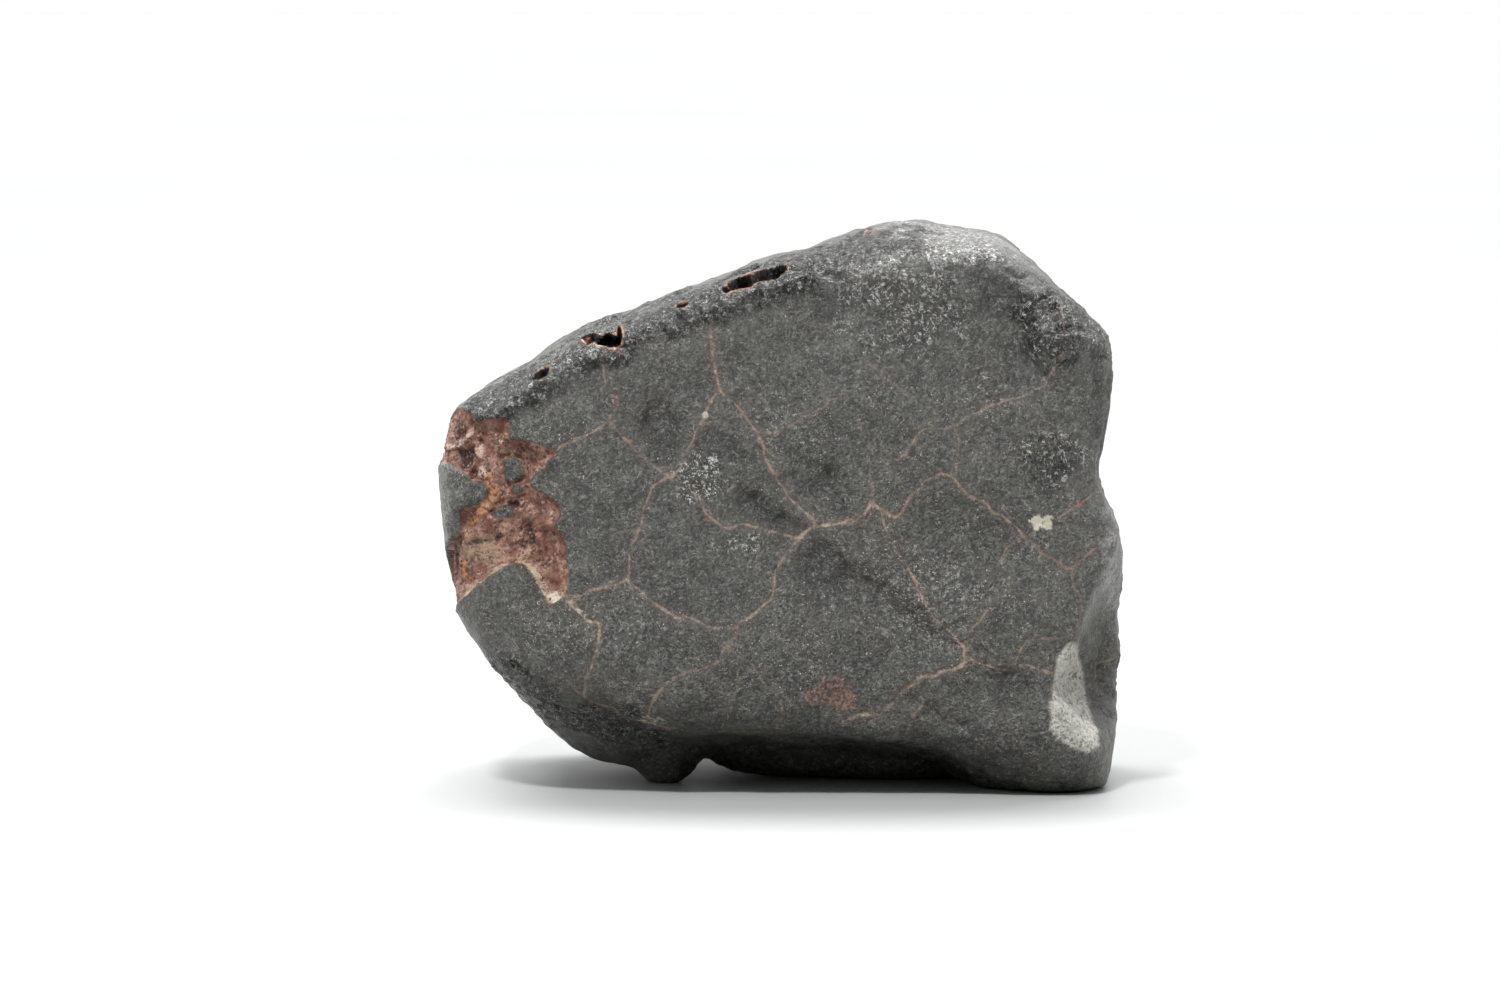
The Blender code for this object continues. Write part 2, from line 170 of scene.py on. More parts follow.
# Broken places. Each outline is runs of points: of the photograph, or (y, z) in mm on
# the stone's left side, or (x, z) in mm on its back.
Break = namedtuple("Break", "looks depth roughness outline")
BREAKS = {
    "left_break": Break((-0.62, -0.78, 0.0), 0.26, 1.0, (
        ("front", (
            (457, 404), (464, 408), (470, 410), (478, 420), (490, 418), (505, 418), (510, 423),
            (511, 438), (522, 440), (533, 443), (545, 446), (560, 452), (556, 457), (548, 461),
            (545, 468), (533, 476), (531, 484), (535, 489), (545, 493), (553, 499), (559, 505),
            (561, 512), (556, 524), (559, 530), (565, 537), (567, 545), (568, 570), (567, 585),
            (566, 592), (560, 598), (553, 602), (546, 600), (543, 592), (538, 582), (532, 572),
            (526, 565), (518, 562), (510, 563), (500, 567), (490, 575), (480, 583), (470, 589),
            (462, 598))),
        ("left", ((-7.0, 11.2), (-4.4, 11.9), (-3.4, 13.6), (-4.6, 15.0), (-6.8, 15.6))),
        ("front", (
            (452, 538), (459, 531), (461, 520), (463, 511), (472, 507), (480, 503), (484, 497),
            (487, 490), (482, 483), (475, 480), (465, 475), (455, 467), (449, 462))),
        ("left", ((-5.6, 20.6), (-3.2, 21.4), (-3.0, 23.4), (-5.2, 24.6))),
    )),
    "back_break": Break((0.1, 1.0, 0.0), 0.26, 1.1, (
        ("back", (
            (11.6, 33.6), (12.4, 30.2), (13.4, 27.6), (14.2, 26.2), (15.9, 25.2), (17.4, 26.2),
            (18.8, 25.6), (20.2, 24.6), (22.4, 24.2), (22.4, 34.0))),
    )),
}
# Dark islands of crust left standing in the broken place, and its pits.
ISLANDS = {
    "upper_island": ((503, 462), (512, 455), (520, 462), (521, 475), (513, 483), (505, 478)),
    "small_island": ((513, 485), (520, 484), (523, 489), (517, 493), (513, 491)),
    "grey_island": ((491, 514), (497, 508), (504, 505), (511, 508), (513, 514), (507, 517), (499, 519)),
}

# Pits in the brow of the stone: their depth in mm and their outline in the photograph.
# They are seen at a flat angle, so each is drawn in to a few times its width from front
# to back, and set a few pixels lower, where the form is steep enough to show it.
PIT_STRETCH = 1.5
PIT_DROP = 6
Pit = namedtuple("Pit", "depth outline")
PITS = {
    "long_pit_left": Pit(1.1, (
        (720, 282), (727, 276), (737, 270), (748, 267), (753, 270), (752, 275), (742, 278),
        (733, 281), (725, 286))),
    "long_pit_right": Pit(1.3, (
        (752, 270), (758, 264), (768, 260), (778, 257), (785, 257), (783, 264), (774, 269),
        (763, 273), (755, 275))),
    "arrow_pit": Pit(1.0, (
        (600, 338), (605, 332), (613, 326), (622, 320), (621, 330), (619, 338), (612, 341))),
    "slit": Pit(0.35, ((584, 334), (591, 330), (600, 330), (600, 334), (590, 337))),
    "bead_pit": Pit(0.45, ((556, 350), (558, 345), (563, 343), (564, 347), (559, 351))),
    "pin_pit": Pit(0.35, ((679, 302), (682, 299), (688, 299), (685, 303))),
    "smudge_pit": Pit(0.25, ((536, 373), (541, 366), (549, 364), (547, 370), (541, 374))),
}

# Places on the visible side, in the photograph: middle across and down, half width, half
# height, the turn in degrees (anticlockwise) and how strong.
MARKS = {
    "rough": (
        (520, 388, 62, 24, 32, 1.0), (610, 342, 62, 24, 25, 1.0), (700, 305, 62, 22, 20, 1.0),
        (785, 275, 60, 22, 22, 1.0), (865, 247, 56, 18, 12, 0.8), (1062, 325, 44, 36, -30, 0.9),
        (520, 690, 64, 22, -32, 0.9), (605, 722, 60, 18, -14, 0.8), (1050, 460, 30, 30, 0, 0.5),
    ),
    "gloss": (
        (955, 242, 62, 18, -6, 1.0), (1093, 332, 16, 16, 0, 1.0), (702, 478, 26, 24, 0, 0.9),
        (1058, 458, 30, 26, 0, 0.8), (905, 300, 60, 50, 0, 0.55), (1048, 325, 26, 30, 0, 0.8),
        (738, 543, 26, 12, 0, 0.5), (560, 365, 120, 14, 28, 0.5), (930, 600, 60, 60, 0, 0.3),
        (985, 400, 22, 30, 30, 0.35), (790, 440, 30, 30, 0, 0.3), (620, 610, 60, 50, 0, 0.2),
    ),
    "dust": (
        (540, 626, 42, 30, 0, 1.0), (905, 585, 36, 60, 20, 1.0), (820, 650, 150, 60, 0, 0.45),
        (560, 425, 60, 22, 10, 0.6), (860, 500, 160, 120, 0, 0.2), (990, 600, 90, 70, 0, 0.3),
        (640, 560, 120, 110, 0, 0.15),
    ),
    "rust": (
        (875, 231, 20, 5, 8, 0.9), (708, 517, 5, 8, 0, 1.0), (1078, 503, 6, 5, 0, 0.9),
        (616, 402, 5, 7, 0, 0.7), (614, 346, 14, 6, -30, 0.8), (728, 283, 9, 5, 20, 0.8),
        (768, 272, 26, 5, 22, 0.7), (898, 515, 6, 5, 0, 0.7), (1078, 600, 16, 60, 0, 0.28),
        (990, 550, 60, 60, 0, 0.14),
    ),
    "ochre": (
        (489, 480, 5, 10, 10, 0.9), (493, 494, 5, 11, -10, 1.0), (483, 509, 12, 5, 35, 0.9),
        (470, 519, 8, 5, 20, 0.9), (459, 568, 6, 9, 30, 1.0), (466, 577, 7, 4, -20, 0.8),
        (530, 530, 12, 10, 0, 0.5), (505, 440, 9, 10, 0, 0.5), (480, 570, 14, 5, 20, 0.4),
        (497, 447, 8, 8, 0, 0.5), (462, 414, 4, 8, 20, 0.6),
    ),
    "bone": (
        (462, 438, 14, 5, 40, 1.0), (478, 450, 6, 9, 0, 0.8), (470, 462, 5, 7, -20, 0.8),
        (482, 474, 8, 6, -30, 0.9), (449, 446, 6, 4, 20, 0.8), (500, 440, 12, 8, 0, 0.5),
        (553, 596, 13, 7, -20, 1.0), (538, 579, 4, 14, 35, 1.0), (500, 565, 14, 3, 20, 0.8),
        (556, 565, 7, 16, 0, 0.45), (545, 515, 8, 14, 0, 0.4),
    ),
    "tan": (
        (480, 552, 16, 18, 30, 1.0), (462, 550, 8, 10, 0, 0.7), (500, 530, 14, 8, 0, 0.5),
        (532, 515, 12, 6, 0, 0.5),
    ),
    # Dark brown of the broken stone and painted shade in its pits and clefts; these are also pressed in.
    "umber_and_painted_shade": (
        (463, 457, 10, 10, 0, 1.0), (452, 430, 9, 20, 25, 0.75), (448, 548, 6, 24, 0, 0.8),
        (470, 424, 5, 10, 0, 0.5), (500, 497, 4, 14, 0, 0.5), (549, 556, 3, 20, 10, 0.5),
        (490, 540, 22, 3, 10, 0.5), (478, 440, 4, 4, 0, 0.7), (474, 474, 4, 6, 0, 0.7),
        (455, 500, 6, 14, 0, 0.4), (519, 445, 14, 6, -10, 0.6), (513, 470, 12, 14, 0, 0.5),
        (528, 536, 5, 16, 20, 0.8), (540, 555, 4, 12, 20, 0.7), (512, 505, 7, 5, 0, 0.9),
        (495, 512, 12, 4, -10, 0.7), (455, 545, 4, 12, 0, 0.6), (524, 545, 6, 4, 0, 0.7),
        (550, 535, 5, 8, 0, 0.5), (505, 420, 8, 4, 0, 0.5), (545, 600, 3, 3, 0, 0.6),
    ),
    # Painted highlights: lighter crust on the lit top, brow and rims of the stone.
    "painted_highlight": (
        (1113, 545, 10, 75, 0, 1.0), (975, 240, 66, 12, -10, 0.6), (1094, 330, 15, 13, -30, 0.8),
        (495, 382, 42, 8, 32, 0.6), (575, 347, 56, 8, 25, 0.6), (660, 310, 56, 7, 20, 0.5),
        (850, 240, 50, 6, 16, 0.5), (442, 510, 7, 50, 0, 0.7), (1035, 262, 40, 9, -38, 0.5),
        (470, 640, 24, 10, -60, 0.4),
    ),
    # Painted shade: under the stone, in the hollows and creases of the front, and where the flank turns from
    # the light; these places are also pressed in a little.
    "dark": (
        (700, 762, 84, 15, -3, 1.0), (850, 756, 130, 15, 0, 1.0), (965, 772, 80, 14, -8, 1.0),
        (1085, 650, 10, 14, 0, 0.9), (1100, 690, 10, 30, 0, 0.7), (832, 300, 22, 30, 0, 0.9),
        (1012, 292, 52, 26, -28, 0.9), (1030, 335, 14, 46, 10, 0.9), (663, 432, 15, 34, 5, 0.9),
        (724, 446, 30, 9, -40, 0.9), (768, 515, 42, 13, -38, 0.9), (826, 488, 12, 32, 25, 0.8),
        (832, 574, 34, 20, -50, 1.0), (900, 602, 62, 9, -38, 0.9), (1104, 405, 10, 80, 0, 0.8),
        (560, 392, 80, 10, 28, 0.6), (740, 310, 80, 8, 22, 0.5), (950, 716, 40, 12, -25, 0.6),
        (1006, 690, 18, 20, 0, 0.7), (650, 500, 24, 30, 0, 0.4), (890, 655, 40, 14, 20, 0.4),
        (905, 330, 90, 40, 0, 0.3), (700, 590, 50, 30, 20, 0.3), (480, 500, 22, 30, 0, 0.5),
    ),
    "cream": (
        (553, 597, 8, 6, 0, 0.9), (655, 720, 18, 7, -12, 0.55), (704, 415, 4, 4, 0, 0.7),
        (722, 290, 4, 6, -30, 0.6), (849, 667, 6, 4, 0, 0.5), (918, 570, 6, 10, 0, 0.35),
        (582, 612, 8, 4, -40, 0.6), (1046, 541, 5, 8, 0, 0.45),
    ),
}

# Stained places with a plain outline, in the photograph.
PATCHES = {
    "rust": (
        (800, 692), (808, 690), (816, 686), (822, 678), (833, 674), (844, 678), (851, 684),
        (857, 697), (854, 709), (843, 712), (831, 709), (822, 702), (812, 706), (803, 698)),
    "cream": (
        (1027, 521), (1031, 514), (1038, 513), (1044, 516), (1050, 512), (1055, 518), (1053, 524),
        (1056, 530), (1048, 532), (1042, 529), (1036, 533), (1031, 528)),
}
# The pale patch in the scooped flank.
PALE_PATCH = (
    (1071, 640), (1079, 646), (1081, 663), (1084, 684), (1088, 705), (1093, 720), (1098, 731),
    (1099, 745), (1088, 753), (1076, 748), (1062, 742), (1051, 730), (1050, 705), (1054, 680),
    (1058, 656),
)


def colour_setting(name, description, *colour):
    return FloatVectorProperty(
        name=name, description=description, default=(*colour, 1.0), subtype="COLOR", size=4, min=0.0, max=1.0
    )


def length_setting(name, description, default):
    return FloatProperty(name=name, description=description, default=default, unit="LENGTH", precision=5)


def light_setting(name, description, default, unit="NONE"):
    return FloatProperty(name=name, description=description, default=default, min=0.0, unit=unit)


def angle_setting(name, description, degrees):
    angle = math.radians(degrees)
    return FloatProperty(name=name, description=description, default=angle, subtype="ANGLE")


class CameraSettings(bpy.types.PropertyGroup):
    lens: FloatProperty(
        name="Lens", description="Focal length on a 36 mm sensor", default=138.6, min=1.0, unit="CAMERA"
    )
    distance: length_setting("Distance", "From the camera to its target", 0.380)
    elevation: angle_setting("Elevation", "How far the camera looks down", 5.0)
    target: FloatVectorProperty(
        name="Target", description="The point that the camera looks at", default=(-0.00215, 0.0, 0.01797),
        subtype="TRANSLATION",
    )


class CrustSettings(bpy.types.PropertyGroup):
    shadow_colour: colour_setting("Dark crust", "The darkest tone of the crust", 0.006, 0.006, 0.005)
    light_colour: colour_setting("Light crust", "The lightest tone of the crust", 0.112, 0.115, 0.093)
    rust_colour: colour_setting("Rust", "Rust in the cracks", 0.250, 0.145, 0.105)
    cream_colour: colour_setting("Cream", "The pale filling of wide cracks", 0.560, 0.450, 0.340)
    grain: length_setting("Grain", "Size of the crust's grains", 0.00016)
    crack_depth: length_setting("Crack depth", "How deep a plain crack is", 0.00007)
    hidden_cracks: IntProperty(
        name="Crack cells", description="Cells of the hidden sides' crack net", default=46, min=4, max=200
    )


class BrokenStoneSettings(bpy.types.PropertyGroup):
    colour: colour_setting("Broken stone", "Red-brown of the weathered stone", 0.220, 0.095, 0.070)
    pale_colour: colour_setting("Pale stone", "Tan and pink parts of the stone", 0.450, 0.270, 0.205)
    grain_count: IntProperty(
        name="Grains per cm2", description="How many grains stand out of the broken stone", default=900, min=0
    )
    smallest_grain: length_setting("Smallest grain", "Radius of the smallest grain", 0.00006)
    largest_grain: length_setting("Largest grain", "Radius of the largest grain", 0.00022)
    seed: IntProperty(name="Seed", description="Seed of the grains' places", default=7)


class StageSettings(bpy.types.PropertyGroup):
    floor_colour: colour_setting("Floor", "Colour of the floor", 0.47, 0.48, 0.48)
    bounce_colour: colour_setting("Floor bounce", "Light that the floor throws back", 0.36, 0.36, 0.35)
    floor_size: length_setting("Floor size", "Side of the floor", 30.0)
    front_light: light_setting("Front light", "Light from the camera's side", 0.12)
    back_light: light_setting("Back light", "Light from behind the stone", 0.7)
    side_light: light_setting("Side light", "Light from the left and the right", 0.9)
    top_light: light_setting("Top light", "Light from above", 0.6)
    overhead_strength: light_setting("Overhead light", "Strength of each of the three lights overhead", 1.5)
    overhead_softness: angle_setting("Overhead softness", "How wide each of them is", 24.0)
    softbox_power: light_setting("Softbox", "The lamp above the camera, on the left", 1.65, "POWER")
    softbox_size: length_setting("Softbox size", "Side of that lamp", 0.05)


# The photograph's view


class PhotoView:
    """The photograph's camera, which turns its pixels into rays and points into pixels."""

    def __init__(self, settings):
        tilt = settings.elevation
        self.forward = np.array((0.0, math.cos(tilt), -math.sin(tilt)))
        self.right = np.array((1.0, 0.0, 0.0))
        self.up = np.array((0.0, math.sin(tilt), math.cos(tilt)))
        self.target = np.array(settings.target) / MM
        self.eye = self.target - self.forward * (settings.distance / MM)
        self.focal = settings.lens / SENSOR_WIDE * PHOTO_WIDE

    def pixels(self, points):
        """Where points in mm show in the photograph."""
        offset = points - self.eye
        depth = offset @ self.forward
        across = offset @ self.right / depth * self.focal + PHOTO_WIDE / 2
        down = PHOTO_HIGH / 2 - offset @ self.up / depth * self.focal
        return np.stack((across, down), axis=1)

    def facing(self, points, normals):
        """1 where the surface looks straight at the camera, below 0 where it looks away."""
        towards = self.eye - points
        towards /= np.linalg.norm(towards, axis=1)[:, None]
        return (towards * normals).sum(axis=1)

    def on_stone(self, form, pixel):
        """The point of the stone at a pixel, or the nearest one to its ray."""
        across = (pixel[0] - PHOTO_WIDE / 2) / self.focal
        up = (PHOTO_HIGH / 2 - pixel[1]) / self.focal
        ray = Vector(self.forward + across * self.right + up * self.up).normalized()
        hit = form.ray_cast(Vector(self.eye), ray)[0]
        if hit is None:
            distance = np.linalg.norm(self.target - self.eye)
            hit = form.find_nearest(Vector(self.eye) + ray * distance)[0]
        return np.array(hit)

    def traced(self, form, pixels):
        """An outline or a path of the photograph, carried to the stone."""
        return np.array([self.on_stone(form, pixel) for pixel in pixels])


def side_point(form, side, pair):
    """A point of the stone given by (y, z) on its left side, (x, z) on its back or (x, y) on its top."""
    starts = {"left": (-FAR, *pair), "back": (pair[0], FAR, pair[1]), "top": (*pair, FAR)}
    rays = {"left": (1, 0, 0), "back": (0, -1, 0), "top": (0, 0, -1)}
    start, ray = Vector(starts[side]), Vector(rays[side])
    hit = form.ray_cast(start, ray)[0]
    return np.array(hit or form.find_nearest(start + ray * FAR)[0])


# Nets of triangles, in millimetres


def mesh_arrays(mesh):
    """A mesh's points in mm and its triangles."""
    mesh.calc_loop_triangles()
    points = np.empty(len(mesh.vertices) * 3)
    mesh.vertices.foreach_get("co", points)
    faces = np.empty(len(mesh.loop_triangles) * 3, np.int32)
    mesh.loop_triangles.foreach_get("vertices", faces)
    return points.reshape(-1, 3) / MM, faces.reshape(-1, 3).astype(np.int64)


def spread_to_corners(count, faces, values):
    """Sums a value of each triangle at its three corners."""
    total = np.zeros((count, values.shape[1]))
    for axis in range(values.shape[1]):
        for corner in range(3):
            total[:, axis] += np.bincount(faces[:, corner], values[:, axis], count)
    return total


def net_normals(points, faces):
    a, b, c = (points[faces[:, k]] for k in range(3))
    total = spread_to_corners(len(points), faces, np.cross(b - a, c - a))
    return total / np.maximum(np.linalg.norm(total, axis=1), 1e-12)[:, None]


def net_edges(faces, count):
    """Each edge once, and which edge each triangle's sides are."""
    ends = np.stack((faces, np.roll(faces, -1, axis=1)), axis=2).reshape(-1, 2)
    ends.sort(axis=1)
    keys, which = np.unique(ends[:, 0] * count + ends[:, 1], return_inverse=True)
    return np.stack((keys // count, keys % count), axis=1), which.reshape(-1, 3)


def relaxed(points, faces, times):
    """Evens the net out along the surface."""
    edges, _ = net_edges(faces, len(points))
    count = np.bincount(edges.ravel(), minlength=len(points))[:, None]
    for _ in range(times):
        normals = net_normals(points, faces)
        total = np.zeros_like(points)
        for axis in range(3):
            total[:, axis] = np.bincount(edges[:, 0], points[edges[:, 1], axis], len(points))
            total[:, axis] += np.bincount(edges[:, 1], points[edges[:, 0], axis], len(points))
        step = total / count - points
        step -= (step * normals).sum(axis=1)[:, None] * normals
        points = points + 0.5 * step
    return points


def refined(points, faces, wanted):
    """Cuts every edge that is longer than is wanted at its ends, and its triangles with it."""
    edges, which = net_edges(faces, len(points))
    ends = points[edges]
    length = np.linalg.norm(ends[:, 0] - ends[:, 1], axis=1)
    cut = length > 1.25 * wanted[edges].min(axis=1)
    middle = np.full(len(edges), -1)
    middle[cut] = len(points) + np.arange(cut.sum())
    points = np.concatenate((points, ends[cut].mean(axis=1)))
    cuts = cut[which]
    total = cuts.sum(axis=1)
    made = [faces[total == 0]]
    whole = faces[total == 3]
    a, b, c = whole.T
    ab, bc, ca = middle[which[total == 3]].T
    made += [np.stack(t, axis=1) for t in ((a, ab, ca), (ab, b, bc), (ca, bc, c), (ab, bc, ca))]
    for start in range(3):
        order = [start, (start + 1) % 3, (start + 2) % 3]
        # One cut side, turned to be the first.
        chosen = (total == 1) & cuts[:, start]
        a, b, c = faces[chosen][:, order].T
        ab = middle[which[chosen, start]]
        made += [np.stack((a, ab, c), axis=1), np.stack((ab, b, c), axis=1)]
        # Two cut sides, turned so that the third is whole.
        chosen = (total == 2) & ~cuts[:, order[2]]
        a, b, c = faces[chosen][:, order].T
        ab, bc = middle[which[chosen, order[0]]], middle[which[chosen, order[1]]]
        made += [np.stack(t, axis=1) for t in ((ab, b, bc), (a, ab, bc), (a, bc, c))]
    return points, np.concatenate(made)


def nearest_on(form, points):
    return np.array([form.find_nearest(Vector(point))[0] for point in points])


# Fields over the stone


def smooth_step(low, high, value):
    part = np.clip((value - low) / (high - low), 0, 1)
    return part * part * (3 - 2 * part)


def waves(points, size, seed):
    """Smooth noise between about -1 and 1, with lumps of the given size in mm."""
    shift = Vector((seed * 17.3, seed * 5.1, seed * 9.7))
    return np.array([noise.noise(Vector(point) / size + shift) for point in points])


def drifts(points, size, seeds):
    """Smooth noise for each of the three directions."""
    return np.stack([waves(points, size, seed) for seed in seeds], axis=1)


def cells(points, size, seed):
    """The distance to the middle of the nearest cell, in cells, and the cell's own number."""
    shift = Vector((seed * 11.9, seed * 3.7, seed * 7.3))
    found = [noise.voronoi(Vector(point) / size + shift) for point in points]
    near = np.array([distances[0] for distances, _ in found])
    own = np.array([noise.cell(middles[0] * 7.0) for _, middles in found])
    return near, own


def polygon_distance(corners, across, up):
    """The distance of each point to a polygon's edge, positive inside it."""
    nearest = np.full(len(across), np.inf)
    inside = np.zeros(len(across), bool)
    for (ax, ay), (bx, by) in zip(corners, np.roll(corners, -1, axis=0)):
        run_x, run_y = bx - ax, by - ay
        part = ((across - ax) * run_x + (up - ay) * run_y) / max(run_x**2 + run_y**2, 1e-9)
        part = np.clip(part, 0, 1)
        gap = np.hypot(across - ax - part * run_x, up - ay - part * run_y)
        nearest = np.minimum(nearest, gap)
        if ay != by:
            crosses = (ay > up) != (by > up)
            inside ^= crosses & (across < ax + (up - ay) / run_y * run_x)
    return np.where(inside, nearest, -nearest)


def plane_axes(looks):
    """Across and up directions of a plane that looks that way."""
    looks = np.array(looks) / np.linalg.norm(looks)
    across = np.cross((0, 0, 1), looks)
    across /= np.linalg.norm(across)
    return looks, across, np.cross(looks, across)


def distance_in_plane(points, normals, looks, corners):
    """The distance inside an outline of points, looked at along a direction."""
    looks, across, up = plane_axes(looks)
    outline = np.stack((corners @ across, corners @ up), axis=1)
    distance = polygon_distance(outline, points @ across, points @ up)
    middle = corners.mean(axis=0)
    reach = np.linalg.norm(corners - middle, axis=1).max() + 6.0
    away = (normals @ looks < 0.05) | (np.linalg.norm(points - middle, axis=1) > reach)
    return np.where(away, -FAR, distance)


def smooth_path(path, steps=4):
    """The points of a curve through the path's points."""
    path = np.array(path, float)
    padded = np.concatenate((path[:1], path, path[-1:]))
    found = []
    for a, b, c, d in zip(padded, padded[1:], padded[2:], padded[3:]):
        square, cube = 2 * a - 5 * b + 4 * c - d, 3 * b - a - 3 * c + d
        for t in np.arange(steps) / steps:
            found.append(0.5 * (2 * b + (c - a) * t + square * t**2 + cube * t**3))
    return found + [path[-1]]


class StoneMap:
    """Where every crack, broken place, pit and mark of the stone is, on its smooth form."""

    def __init__(self, form, view, cell_count):
        self.view = view
        self.cracks = [(crack, view.traced(form, smooth_path(crack.path))) for crack in CRACKS.values()]
        self.breaks = []
        for place in BREAKS.values():
            runs = []
            for side, run in place.outline:
                seen = side == "front"
                hits = view.traced(form, run) if seen else [side_point(form, side, pair) for pair in run]
                runs.append(hits)
            self.breaks.append((place, np.concatenate(runs)))
        self.islands = [view.traced(form, outline) for outline in ISLANDS.values()]
        self.pits = [(pit, self.pit_corners(form, view, pit)) for pit in PITS.values()]
        self.net_seeds = self.spread_seeds(form, cell_count)

    @staticmethod
    def pit_corners(form, view, pit):
        """A pit's outline on the stone, drawn in so that it doesn't run back over the top."""
        corners = view.traced(form, [(u, v + PIT_DROP) for u, v in pit.outline])
        front = corners[:, 1].min()
        wide, deep, _ = np.ptp(corners, axis=0)
        share = min(1.0, PIT_STRETCH * wide / deep)
        return np.array([side_point(form, "top", (x, front + share * (y - front))) for x, y, _ in corners])

    @staticmethod
    def spread_seeds(form, count):
        """Middles of the crack cells: well spaced points on the stone."""
        golden = math.pi * (3 - math.sqrt(5))
        seeds = []
        for k in range(count):
            height = 1 - 2 * (k + 0.5) / count
            ring = math.sqrt(1 - height * height)
            turn = golden * k + 1.3 * noise.random()
            ray = Vector((ring * math.cos(turn), ring * math.sin(turn), height)) * Vector(STONE_HALF)
            ray += Vector(noise.random_unit_vector()) * 3.0
            seeds.append(np.array(form.find_nearest(Vector((0, 0, STONE_HALF[2])) + ray)[0]))
        return np.array(seeds)

    def crack_field(self, points, normals):
        """For each point: the gap and the way to the nearest crack, in half widths, its tone and force."""
        moved = points + 0.16 * drifts(points, 0.9, (21, 22, 23))
        gap = np.full(len(points), NO_CRACK)
        way = np.full((len(points), 3), NO_CRACK)
        tone = np.zeros(len(points))
        force = np.zeros(len(points))
        for crack, path in self.cracks:
            reach = NO_CRACK * crack.half
            for start, end in zip(path, path[1:]):
                low = np.minimum(start, end) - reach
                high = np.maximum(start, end) + reach
                near = np.flatnonzero(((moved > low) & (moved < high)).all(axis=1))
                run = end - start
                part = np.clip((moved[near] - start) @ run / max(run @ run, 1e-9), 0, 1)
                offset = (moved[near] - start - part[:, None] * run) / crack.half
                away = np.linalg.norm(offset, axis=1)
                closer = away < gap[near]
                chosen = near[closer]
                gap[chosen] = away[closer]
                way[chosen] = offset[closer]
                tone[chosen] = crack.tone
                force[chosen] = crack.force
        hidden = self.net_field(points, normals)
        own = hidden[0] < gap
        return (
            np.where(own, hidden[0], gap),
            np.where(own[:, None], hidden[1], way),
            np.where(own, hidden[2], tone),
            np.where(own, hidden[3], force),
        )

    def net_field(self, points, normals):
        """The crack net of the sides that the photograph doesn't show."""
        hidden = smooth_step(0.10, -0.12, self.view.facing(points, normals))
        moved = points + 1.3 * drifts(points, 3.2, (31, 32, 33)) + 0.585 * drifts(points, 1.1, (34, 35, 36))
        squared = ((moved[:, None, :] - self.net_seeds[None]) ** 2).sum(axis=2)
        order = np.argpartition(squared, 1, axis=1)[:, :2]
        pair = np.take_along_axis(squared, order, axis=1)
        swap = pair[:, 0] > pair[:, 1]
        order[swap] = order[swap][:, ::-1]
        pair.sort(axis=1)
        across = self.net_seeds[order[:, 1]] - self.net_seeds[order[:, 0]]
        apart = np.maximum(np.linalg.norm(across, axis=1), 1e-6)
        away = (pair[:, 1] - pair[:, 0]) / (2 * apart) / HIDDEN_HALF
        # Each cell border has a strength and a tone of its own, and some stay closed.
        code = np.sort(order, axis=1) @ np.array((127.1, 311.7))
        chance = np.modf(np.abs(np.sin(code) * 43758.5453))[0]
        force = hidden * smooth_step(0.22, 0.75, chance)
        gap = np.where(force > 0.02, np.minimum(away, NO_CRACK), NO_CRACK)
        way = across / apart[:, None] * gap[:, None]
        return gap, way, np.modf(chance * 7.7)[0] * 0.6, force

    def break_field(self, points, normals):
        """The distance inside the nearest broken place in mm, and how deep and rough it is."""
        ragged = 0.16 * waves(points, 0.7, 41) + 0.08 * waves(points, 0.3, 42)
        inside = np.full(len(points), -FAR)
        depth = np.zeros(len(points))
        rough = np.zeros(len(points))
        for place, corners in self.breaks:
            own = distance_in_plane(points, normals, place.looks, corners) + ragged
            depth = np.where(own > inside, place.depth, depth)
            rough = np.where(own > inside, place.roughness, rough)
            inside = np.maximum(inside, own)
        for corners in self.islands:
            own = distance_in_plane(points, normals, BREAKS["left_break"].looks, corners)
            inside = np.minimum(inside, -own - 0.6 * ragged)
        return inside, depth, rough

    def pit_field(self, points, normals):
        """The distance inside the nearest pit in mm, and the pit's depth."""
        ragged = 0.07 * waves(points, 0.35, 45) + 0.30 * waves(points, 1.2, 57)
        inside = np.full(len(points), -FAR)
        depth = np.zeros(len(points))
        for pit, corners in self.pits:
            own = distance_in_plane(points, normals, (0.0, -0.5, 0.866), corners) + ragged
            depth = np.where(own > inside, pit.depth, depth)
            inside = np.maximum(inside, own)
        return inside, depth

    def mark_field(self, kind, points, normals):
        """How strongly the marks of one kind show at each point."""
        pixels = self.view.pixels(points)
        facing = self.view.facing(points, normals)
        seen = smooth_step(-0.05, 0.10, facing)
        # A mark on the top is seen at a flat angle, and ends before it becomes a streak.
        seen *= smooth_step(7.0, -1.0, points[:, 1] + 3.0 * waves(points, 2.0, 55))
        flat = smooth_step(0.6, 0.2, facing)
        found = np.zeros(len(points))
        along_drift = 0.55 * waves(points, 1.6, 48) + 0.33 * waves(points, 0.6, 49)
        along_drift += 0.9 * flat * waves(points, 3.5, 56)
        over_drift = 0.55 * waves(points, 1.6, 50)
        for u, v, half_wide, half_high, degrees, strength in MARKS[kind]:
            turn = math.radians(degrees)
            across = pixels[:, 0] - u
            up = v - pixels[:, 1]
            along = (across * math.cos(turn) + up * math.sin(turn)) / half_wide + along_drift
            over = (up * math.cos(turn) - across * math.sin(turn)) / half_high + over_drift
            inside = 1.3 * (1 - np.hypot(along, over) / 1.35)
            found = np.maximum(found, strength * smooth_step(0.0, 0.7, inside))
        if kind in PATCHES:
            found = np.maximum(found, self.patch_field(PATCHES[kind], points, pixels))
        return found * seen

    @staticmethod
    def patch_field(outline, points, pixels):
        distance = polygon_distance(np.array(outline, float), pixels[:, 0], pixels[:, 1])
        return smooth_step(-3.5, 3.5, distance + 3.0 * waves(points, 0.35, 47))

